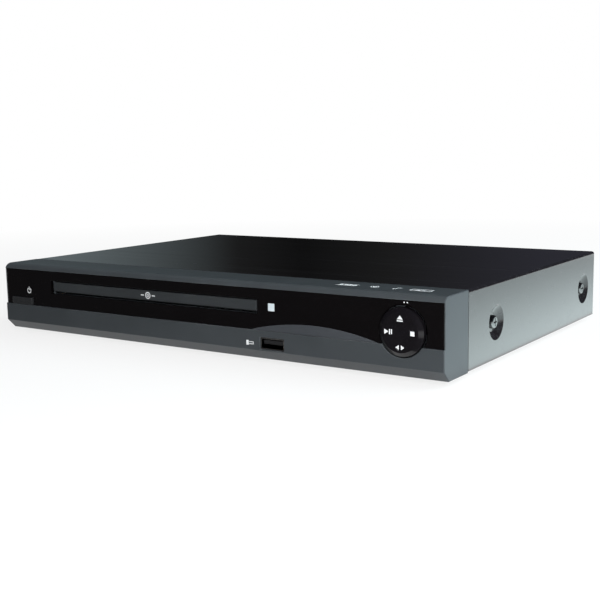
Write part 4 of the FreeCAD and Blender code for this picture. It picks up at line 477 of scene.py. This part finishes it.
# Its pale edge colour, as on the bezel, is partly a painted highlight on the rounded edges and partly rubbing
# wear.
dress(moulded("abs_satin_grey_insert", "#3A3D41", "#404347", "#7C8284", 0.25, 0.006, 0.34, 0.44,
              specular=0.3),
      "accent_arc")


# Window panel: black acrylic, cast in polished tooling and taped into the bezel's recess.
# Near-mirror gloss over a depth of black, with the slight waviness of a moulding and a few hair scratches.

def gloss_black(name, body, wave_mm, wave_deep_mm, rough_low, rough_high, specular):
    """Polished black plastic: a slow waviness, hair scratches and a film of handling that dulls it in places."""
    made, tree, shader, place = start(name)
    film = add(tree, "ShaderNodeTexNoise", {"Vector": place, "Scale": per_mm(18.0), "Detail": 5.0})
    deeper = [c * 0.6 for c in linear(body)[:3]] + [1.0]
    colour = add(tree, "ShaderNodeMix", {0: film.outputs[0], 6: deeper, 7: linear(body)}, data_type="RGBA")
    hair = add(tree, "ShaderNodeMapping", {"Vector": place, "Rotation": (0.0, 0.5, 0.3), "Scale": (0.05, 1.0,
                                                                                                   1.0)})
    scratch = add(tree, "ShaderNodeTexNoise", {"Vector": hair.outputs[0], "Scale": per_mm(0.4),
                                               "Detail": 2.0})
    fine = add(tree, "ShaderNodeMapRange", {0: scratch.outputs[0], 1: 0.66, 2: 0.74, 3: 0.0, 4: 0.06})
    dull = add(tree, "ShaderNodeMapRange", {0: film.outputs[0], 1: 0.35, 2: 0.7, 3: rough_low, 4: rough_high})
    rough = add(tree, "ShaderNodeMath", {0: dull.outputs[0], 1: fine.outputs[0]}, operation="ADD")
    wave = add(tree, "ShaderNodeTexNoise", {"Vector": place, "Scale": per_mm(wave_mm), "Detail": 1.0})
    corner = add(tree, "ShaderNodeBevel", {"Radius": 0.0003}, samples=6)
    bump = add(tree, "ShaderNodeBump", {"Strength": 0.3, "Distance": wave_deep_mm / 1000,
                                        "Height": wave.outputs[0],
                                        "Normal": corner.outputs[0]})
    tree.links.new(colour.outputs[2], shader.inputs["Base Color"])
    tree.links.new(rough.outputs[0], shader.inputs["Roughness"])
    tree.links.new(bump.outputs[0], shader.inputs["Normal"])
    shader.inputs["IOR"].default_value = 1.49
    shader.inputs["Specular IOR Level"].default_value = specular
    return made


dress(gloss_black("acrylic_black_polished", "#0B090A", 14.0, 0.004, 0.03, 0.08, 0.4), "window_panel")


# Indicator lens: a square light pipe of opal acrylic, pressed into the panel from behind.
# Milky white with a soft glow through its edges; not lit.

made, tree, shader, place = start("acrylic_opal")
milk = add(tree, "ShaderNodeTexNoise", {"Vector": place, "Scale": per_mm(1.2), "Detail": 3.0})
colour = add(tree, "ShaderNodeMix", {0: milk.outputs[0], 6: linear("#C2CFD5"), 7: linear("#D6E1E6")},
             data_type="RGBA")
rough = add(tree, "ShaderNodeMath", {0: milk.outputs[0], 1: 0.1, 2: 0.16}, operation="MULTIPLY_ADD")
tree.links.new(colour.outputs[2], shader.inputs["Base Color"])
tree.links.new(rough.outputs[0], shader.inputs["Roughness"])
shader.inputs["Subsurface Weight"].default_value = 0.3
shader.inputs["Subsurface Radius"].default_value = (0.001, 0.001, 0.001)
shader.inputs["Subsurface Scale"].default_value = 1.0
dress(made, "status_lens")


# Power button: a dark grey ABS key that pushes the mains switch through a plunger.
# Moulded with a semi-gloss face and rubbed smoother in the middle by fingers.

dress(moulded("abs_semi_gloss_dark_grey", "#28292A", "#2D2E2F", "#4A4C4F", 0.4, 0.006, 0.24, 0.36,
              specular=0.3),
      "power_button")


# Rocker disc: a gloss black ABS cap with a bevelled rim, dished to guide the thumb, on a gimbal behind the
# panel. Polished tooling as for the panel, dulled a little where it is pressed.

dress(gloss_black("abs_gloss_black_key", "#131114", 6.0, 0.003, 0.1, 0.18, 0.5), "control_disc")


# Printed marks: pad-printed white ink on the keys and the front, laid on the surface that carries it.
# Standard signs and plain pictograms only; the ink is a film 0.03 mm thick with slightly ragged cover.

made, tree, shader, place = start("pad_print_ink_white")
cover = add(tree, "ShaderNodeTexNoise", {"Vector": place, "Scale": per_mm(0.3), "Detail": 4.0})
colour = add(tree, "ShaderNodeMix", {0: cover.outputs[0], 6: linear("#C9CDD0"), 7: linear("#F2F4F5")},
             data_type="RGBA")
bump = add(tree, "ShaderNodeBump", {"Strength": 0.2, "Distance": 0.00001, "Height": cover.outputs[0]})
tree.links.new(colour.outputs[2], shader.inputs["Base Color"])
tree.links.new(bump.outputs[0], shader.inputs["Normal"])
shader.inputs["Roughness"].default_value = 0.5
ink_white = made

ink_film, ink_bite = 0.03, 0.03
print_above, print_ahead = 60.0, -130.0
ring_eye = 0.0001


def bar(u0, v0, u1, v1):
    """An upright rectangle between two corners."""
    return [[(u0, v0), (u1, v0), (u1, v1), (u0, v1)]]


def ring(u, v, inner, outer, first=0.0, last=360.0, steps=36):
    """Part of a ring, as quads between its two edges, counted anticlockwise from the right."""
    turns = [math.radians(first + (last - first) * i / steps) for i in range(steps + 1)]
    edge = [[(u + r * math.cos(t), v + r * math.sin(t)) for t in turns] for r in (inner, outer)]
    return [[edge[0][i], edge[1][i], edge[1][i + 1], edge[0][i + 1]] for i in range(steps)]


def triangle(u, v, half, tall, turn):
    """A triangle with its base's middle at u, v, pointing the way that turn gives, in degrees from the right."""
    c, s = math.cos(math.radians(turn)), math.sin(math.radians(turn))
    corners = [(0, -half), (tall, 0), (0, half)]
    return [[(u + x * c - y * s, v + x * s + y * c) for x, y in corners]]


def print_on(name, node, body, faces, down=False):
    """Lays flat faces, in millimetres across the front or the top, on a solid's surface as a film of ink."""
    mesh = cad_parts[node].data
    tree = BVHTree.FromPolygons([v.co.copy() for v in mesh.vertices],
                                [list(p.vertices) for p in mesh.polygons])
    way = Vector((0, 0, -1)) if down else Vector((0, 1, 0))
    work = bmesh.new()
    for face in faces:
        points = [Vector((u, v, print_above)) if down else Vector((u, print_ahead, v)) for u, v in face]
        work.faces.new([work.verts.new(point) for point in points])
    bmesh.ops.remove_doubles(work, verts=work.verts, dist=0.001)
    grown = bmesh.ops.extrude_face_region(work, geom=list(work.faces))
    top = [g for g in grown["geom"] if isinstance(g, bmesh.types.BMVert)]
    for vert in work.verts:
        hit = tree.ray_cast(vert.co / 1000, way)[0]
        vert.co = hit + way * (ink_bite if vert not in top else -ink_film) / 1000
    bmesh.ops.recalc_face_normals(work, faces=work.faces)
    made = bpy.data.meshes.new(name)
    work.to_mesh(made)
    work.free()
    piece = bpy.data.objects.new(name, made)
    bpy.context.scene.collection.objects.link(piece)
    made.materials.append(ink_white)
    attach(piece, body)


low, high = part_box("control_disc")
disc_x, disc_z = (low.x + high.x) * 500, (low.z + high.z) * 500
print_on("mark_eject", "control_disc", "rocker_unit",
         triangle(disc_x, disc_z + 5.6, 1.4, 1.7, 90) + bar(disc_x - 1.4, disc_z + 4.7, disc_x + 1.4, disc_z
                                                            + 5.2))
print_on("mark_play_pause", "control_disc", "rocker_unit",
         triangle(disc_x - 7.4, disc_z, 1.15, 1.9, 0) + bar(disc_x - 5.2, disc_z - 1.1, disc_x - 4.75, disc_z
                                                            + 1.1)
         + bar(disc_x - 4.3, disc_z - 1.1, disc_x - 3.85, disc_z + 1.1))
print_on("mark_stop", "control_disc", "rocker_unit",
         bar(disc_x + 4.9, disc_z - 1.0, disc_x + 6.9, disc_z + 1.0))
print_on("mark_skip", "control_disc", "rocker_unit",
         triangle(disc_x - 0.5, disc_z - 6.4, 1.0, 1.6, 180) + triangle(disc_x + 0.5, disc_z - 6.4, 1.0, 1.6,
                                                                        0))
dot_x, dot_z, dot_gap, dot_radius = 115.9, 35.3, 1.5, 0.28
print_on("mark_dots", "window_panel", "case",
         ring(dot_x, dot_z, ring_eye, dot_radius, steps=16)
         + ring(dot_x + dot_gap, dot_z, ring_eye, dot_radius, steps=16))
power_x, power_z = -116.6, 24.8
print_on("mark_power", "window_panel", "case",
         ring(power_x, power_z, 1.15, 1.6, 120, 420)
         + bar(power_x - 0.23, power_z + 0.1, power_x + 0.23, power_z + 2.0))
door_x, door_z = -29.3, 28.0
print_on("mark_disc", "tray_door", "tray_unit",
         ring(door_x, door_z, 1.25, 1.75) + ring(door_x, door_z, 0.4, 0.75, steps=20)
         + bar(door_x - 4.7, door_z - 0.25, door_x - 2.7, door_z + 0.25)
         + bar(door_x + 2.7, door_z - 0.25, door_x + 4.7, door_z + 0.25))
plug_x, plug_z = 33.2, 9.4
print_on("mark_plug", "front_bezel", "case",
         bar(plug_x, plug_z, plug_x + 1.4, plug_z + 2.3)
         + bar(plug_x + 1.7, plug_z + 0.5, plug_x + 4.2, plug_z + 0.8)
         + bar(plug_x + 1.7, plug_z + 1.5, plug_x + 4.2, plug_z + 1.8)
         + bar(plug_x + 3.9, plug_z + 0.9, plug_x + 4.2, plug_z + 1.4))


# Media pictograms: a faint row on the bezel's top that tells what the player takes, printed in pale grey ink.
# Film, disc, note and picture, all plain signs, about 9 mm wide.

row_y, row_half, row_line = -85.0, 2.0, 0.4
row_low, row_high = row_y - row_half, row_y + row_half
film_left, film_right, film_end, film_pitch, film_frame, film_inset = 76.0, 86.0, 1.0, 2.4, 1.5, 0.8
marks = bar(film_left, row_low, film_right, row_low + row_line)
marks += bar(film_left, row_high - row_line, film_right, row_high)
for number in range(4):
    x = film_left + film_end + number * film_pitch
    marks += bar(x, row_low + film_inset, x + film_frame, row_high - film_inset)
print_on("mark_film", "front_bezel", "case", marks, down=True)
print_on("mark_media_disc", "front_bezel", "case",
         ring(95.0, row_y, 1.5, 2.0) + ring(95.0, row_y, 0.4, 0.8, steps=20), down=True)
print_on("mark_note", "front_bezel", "case",
         ring(105.2, row_y - 1.4, ring_eye, 0.7, steps=20) + bar(105.6, row_y - 1.0, 105.95, row_y + 2.0)
         + bar(106.0, row_y + 1.5, 107.6, row_y + 2.0), down=True)
picture_left, picture_right, picture_gap = 113.0, 123.0, 0.45
marks = bar(picture_left, row_low, picture_right, row_low + row_line)
marks += bar(picture_left, row_high - row_line, picture_right, row_high)
marks += bar(picture_left, row_low + picture_gap, picture_left + row_line, row_high - picture_gap)
marks += bar(picture_right - row_line, row_low + picture_gap, picture_right, row_high - picture_gap)
marks += triangle(116.5, row_y - 1.3, 1.8, 2.0, 90) + triangle(119.6, row_y - 1.3, 1.2, 1.4, 90)
print_on("mark_picture", "front_bezel", "case", marks, down=True)


# Steel cover: folded sheet, painted black and faced with a clear film that has a fine brushed pattern.
# The pattern runs across the player, lines about 0.2 mm apart, drawn at 0.5 mm; the film is glossy over it.
# It drops over the pan and is held by screws in two dimples on each side and along the rear lip.

made, tree, shader, place = start("painted_steel_brushed_film")
along = add(tree, "ShaderNodeMapping", {"Vector": place, "Scale": (0.02, 1.0, 1.0)})
brush = add(tree, "ShaderNodeTexNoise", {"Vector": along.outputs[0], "Scale": per_mm(0.5), "Detail": 5.0,
                                         "Roughness": 0.7})
broad = add(tree, "ShaderNodeTexNoise", {"Vector": along.outputs[0], "Scale": per_mm(4.0), "Detail": 2.0})
both = add(tree, "ShaderNodeMath", {0: brush.outputs[0], 1: 0.7, 2: broad.outputs[0]},
           operation="MULTIPLY_ADD")
share = add(tree, "ShaderNodeMapRange", {0: both.outputs[0], 1: 0.6, 2: 1.1, 3: 0.0, 4: 1.0})
base = add(tree, "ShaderNodeMix", {0: share.outputs[0], 6: linear("#0D0B0C"), 7: linear("#1C1B1D")},
           data_type="RGBA")
corner = add(tree, "ShaderNodeBevel", {"Radius": 0.0004}, samples=6)
true = add(tree, "ShaderNodeNewGeometry").outputs["Normal"]
turn = add(tree, "ShaderNodeVectorMath", {0: corner.outputs[0], 1: true}, operation="DOT_PRODUCT")
rub_and_highlight = add(tree, "ShaderNodeMapRange", {0: turn.outputs["Value"], 1: 0.995, 2: 0.8, 3: 0.0, 4: 0.3})
colour = add(tree, "ShaderNodeMix", {0: rub_and_highlight.outputs[0], 6: base.outputs[2], 7: linear("#55585A")},
             data_type="RGBA")
rough = add(tree, "ShaderNodeMapRange", {0: share.outputs[0], 3: 0.18, 4: 0.28})
bump = add(tree, "ShaderNodeBump", {"Strength": 0.12, "Distance": 0.00001, "Height": brush.outputs[0],
                                    "Normal": corner.outputs[0]})
tree.links.new(colour.outputs[2], shader.inputs["Base Color"])
tree.links.new(rough.outputs[0], shader.inputs["Roughness"])
tree.links.new(bump.outputs[0], shader.inputs["Normal"])
shader.inputs["IOR"].default_value = 1.5
shader.inputs["Coat Weight"].default_value = 1.0
shader.inputs["Coat Roughness"].default_value = 0.14
shader.inputs["Coat IOR"].default_value = 1.6
dress(made, "top_cover")


# Cover screws: nickel-plated self-tappers, two in the dimples of each side and the rest along the rear lip.
# Bright, with turning lines round the head and a darker cross where the driver goes.

dress(plated_steel("nickel_plated_steel_screw", "#A9AAAA", "#7C7D7E", 0.2, 0.36, 0.25), "cover_screws")


# Stage: a pale floor, soft lamps and the camera, none of which belongs to the player.
# The floor and the surroundings are white to the camera and in reflections, and the floor keeps the shadow.

def white_to_sight(tree):
    """1 for rays from the camera, a mirror or glass, so that they see plain white."""
    path = add(tree, "ShaderNodeLightPath")
    sight = add(tree, "ShaderNodeMath", {0: path.outputs["Is Camera Ray"], 1: path.outputs["Is Glossy Ray"]},
                operation="MAXIMUM")
    return add(tree, "ShaderNodeMath", {0: sight.outputs[0], 1: path.outputs["Is Transmission Ray"]},
               operation="MAXIMUM").outputs[0]


def stage_sheet(name, corners, material):
    """A flat sheet that isn't part of the player."""
    mesh = bpy.data.meshes.new(name)
    mesh.from_pydata(corners, [], [list(range(len(corners)))])
    mesh.materials.append(material)
    sheet = bpy.data.objects.new(name, mesh)
    bpy.context.scene.collection.objects.link(sheet)
    return sheet


paper = bpy.data.materials.new("studio_paper_white")
paper.use_nodes = True
tree = paper.node_tree
tree.nodes.remove(tree.nodes["Principled BSDF"])
dull = add(tree, "ShaderNodeBsdfDiffuse", {"Color": (0.86, 0.86, 0.86, 1.0)})
lit = add(tree, "ShaderNodeEmission", {"Color": (1, 1, 1, 1), "Strength": 1.0})
place = add(tree, "ShaderNodeTexCoord").outputs["Object"]
far = add(tree, "ShaderNodeVectorMath", {0: place}, operation="LENGTH")
backdrop = add(tree, "ShaderNodeMapRange", {0: far.outputs["Value"], 1: 0.25, 2: 0.8, 3: 0.8, 4: 1.0})
seen = add(tree, "ShaderNodeMath", {0: white_to_sight(tree), 1: backdrop.outputs[0]}, operation="MULTIPLY")
mixed = add(tree, "ShaderNodeMixShader", {0: seen.outputs[0], 1: dull.outputs[0], 2: lit.outputs[0]})
tree.links.new(mixed.outputs[0], tree.nodes["Material Output"].inputs["Surface"])
stage_sheet("floor", [(-20, -20, 0), (20, -20, 0), (20, 20, 0), (-20, 20, 0)], paper)

world = bpy.data.worlds.new("studio_surround")
bpy.context.scene.world = world
world.use_nodes = True
tree = world.node_tree
level = add(tree, "ShaderNodeMapRange", {0: white_to_sight(tree), 3: 0.2, 4: 1.0})
tree.links.new(level.outputs[0], tree.nodes["Background"].inputs["Strength"])
tree.nodes["Background"].inputs["Color"].default_value = (1, 1, 1, 1)

# A dark tent stands round the player, as in a product studio, so that its gloss top has something dark to
# reflect. It is paler behind on the left. Only reflections see it: it throws no shadow and the camera looks
# past it.
tent = bpy.data.materials.new("studio_cloth_black")
tent.use_nodes = True
tree = tent.node_tree
tree.nodes.remove(tree.nodes["Principled BSDF"])
place = add(tree, "ShaderNodeTexCoord").outputs["Object"]
apart = add(tree, "ShaderNodeSeparateXYZ", {0: place})
behind = add(tree, "ShaderNodeMath", {0: apart.outputs["Y"], 1: apart.outputs["X"]}, operation="ARCTAN2")
half_turns = add(tree, "ShaderNodeMath", {0: behind.outputs[0], 1: math.pi}, operation="DIVIDE")
fade = add(tree, "ShaderNodeValToRGB", {0: half_turns.outputs[0]})
fade.color_ramp.elements[0].position = 0.58
fade.color_ramp.elements[0].color = (0.03, 0.03, 0.04, 1)
fade.color_ramp.elements[1].position = 0.8
fade.color_ramp.elements[1].color = (0.15, 0.18, 0.19, 1)
for position, tone in ((0.65, 0.012), (0.69, 0.004), (0.72, 0.012)):
    stop = fade.color_ramp.elements.new(position)
    stop.color = (tone, tone, tone, 1)
lit = add(tree, "ShaderNodeEmission", {"Color": fade.outputs[0], "Strength": 1.0})
tree.links.new(lit.outputs[0], tree.nodes["Material Output"].inputs["Surface"])
tent_radius, tent_low, tent_high, tent_sides = 1.4, 0.001, 1.45, 72
turns = [2 * math.pi * i / tent_sides for i in range(tent_sides)]
points = [(tent_radius * math.cos(t), tent_radius * math.sin(t), z) for z in (tent_low,
                                                                              tent_high) for t in turns]
walls = [(i, (i + 1) % tent_sides, tent_sides + (i + 1) % tent_sides, tent_sides
          + i) for i in range(tent_sides)]
mesh = bpy.data.meshes.new("dark_tent")
mesh.from_pydata(points, [], walls + [tuple(range(tent_sides, 2 * tent_sides))])
mesh.materials.append(tent)
dark_tent = bpy.data.objects.new("dark_tent", mesh)
bpy.context.scene.collection.objects.link(dark_tent)
dark_tent.visible_camera = False
dark_tent.visible_diffuse = False
dark_tent.visible_shadow = False


# A black mat lies in front, for the gloss panel to reflect, and a board that glows up to 1.8 times white,
# tinted blue-green, lies along the right side: a light seen only in reflections, which paints the pale
# reflected tone on the cover's right side.
# As with the tent, the camera looks past them; the mat also keeps the floor's bounce off the front.

def laid_sheet(name, across, along, near, far, fall=1.0, bounce=False):
    """A sheet on the floor for the player to reflect; its light changes along y and falls off to the right."""
    cloth = bpy.data.materials.new(name)
    cloth.use_nodes = True
    tree = cloth.node_tree
    tree.nodes.remove(tree.nodes["Principled BSDF"])
    apart = add(tree, "ShaderNodeSeparateXYZ", {0: add(tree, "ShaderNodeTexCoord").outputs["Object"]})
    share = add(tree, "ShaderNodeMapRange", {0: apart.outputs["Y"], 1: along[0], 2: along[1]})
    level = add(tree, "ShaderNodeMix", {0: share.outputs[0], 6: near, 7: far}, data_type="RGBA")
    x_near, x_far = 0.15, 0.23
    dim = add(tree, "ShaderNodeMapRange", {0: apart.outputs["X"], 1: x_near, 2: x_far, 3: 1.0, 4: fall})
    lit = add(tree, "ShaderNodeEmission", {"Color": level.outputs[2], "Strength": dim.outputs[0]})
    under = add(tree, "ShaderNodeNewGeometry").outputs["Backfacing"]
    clear = add(tree, "ShaderNodeBsdfTransparent")
    mixed = add(tree, "ShaderNodeMixShader", {0: under, 1: lit.outputs[0], 2: clear.outputs[0]})
    tree.links.new(mixed.outputs[0], tree.nodes["Material Output"].inputs["Surface"])
    lift = 0.0005
    sheet = stage_sheet(name, [(across[0], along[0], lift), (across[1], along[0], lift),
                               (across[1], along[1], lift), (across[0], along[1], lift)], cloth)
    sheet.visible_camera = False
    sheet.visible_diffuse = bounce
    sheet.visible_shadow = False


mat_tone = (0.06, 0.06, 0.063, 1.0)
board_near, board_far, board_fall = (1.55, 1.8, 1.82, 1.0), (0.8, 0.9, 0.92, 1.0), 0.66
laid_sheet("black_mat", (-0.9, 0.165), (-0.9, -0.105), mat_tone, mat_tone, bounce=True)
# This board glows brighter than white, a light seen only in reflections, for the cover's right side.
laid_sheet("glowing_board", (0.142, 0.5), (-0.09, 0.42), board_near, board_far, board_fall)


def softbox(name, place, target, wide, tall, power, tint="#FFFFFF"):
    """A rectangular lamp turned towards a point, which gloss surfaces don't mirror."""
    lamp = bpy.data.lights.new(name, "AREA")
    lamp.shape = "RECTANGLE"
    lamp.color = linear(tint)[:3]
    lamp.size, lamp.size_y, lamp.energy = wide, tall, power
    thing = bpy.data.objects.new(name, lamp)
    thing.location = place
    thing.rotation_euler = (Vector(target) - Vector(place)).to_track_quat("-Z", "Y").to_euler()
    thing.visible_glossy = False
    bpy.context.scene.collection.objects.link(thing)


softbox("top_light", (0.0, -0.1, 1.5), (0.0, 0.0, 0.0), 1.6, 1.6, 1.5)
softbox("front_light", (0.42, -0.55, 0.2), (0.04, -0.1, 0.02), 0.4, 0.4, 5.6)
softbox("right_light", (0.8, 0.35, 0.4), (0.2, 0.05, 0.0), 1.0, 1.0, 18.0, "#DDEFF4")

# The camera stands to the right of the front, just above the player's top, and looks slightly down.
camera = bpy.data.cameras.new("camera")
camera.sensor_width, camera.lens, camera.clip_start = 36.0, 59.91, 0.01
seat = bpy.data.objects.new("camera", camera)
right = Vector((0.82716571, 0.56165219, -0.01853918))
down = Vector((0.0717868, -0.13832803, -0.98778136))
ahead = Vector((-0.55735405, 0.815728, -0.15473942))
turned = Matrix((right, -down, -ahead)).transposed().to_4x4()
seat.matrix_world = Matrix.Translation(Vector((0.31236, -0.46145, 0.10166))) @ turned
bpy.context.scene.collection.objects.link(seat)
bpy.context.scene.camera = seat
bpy.context.scene.view_settings.view_transform = "Standard"
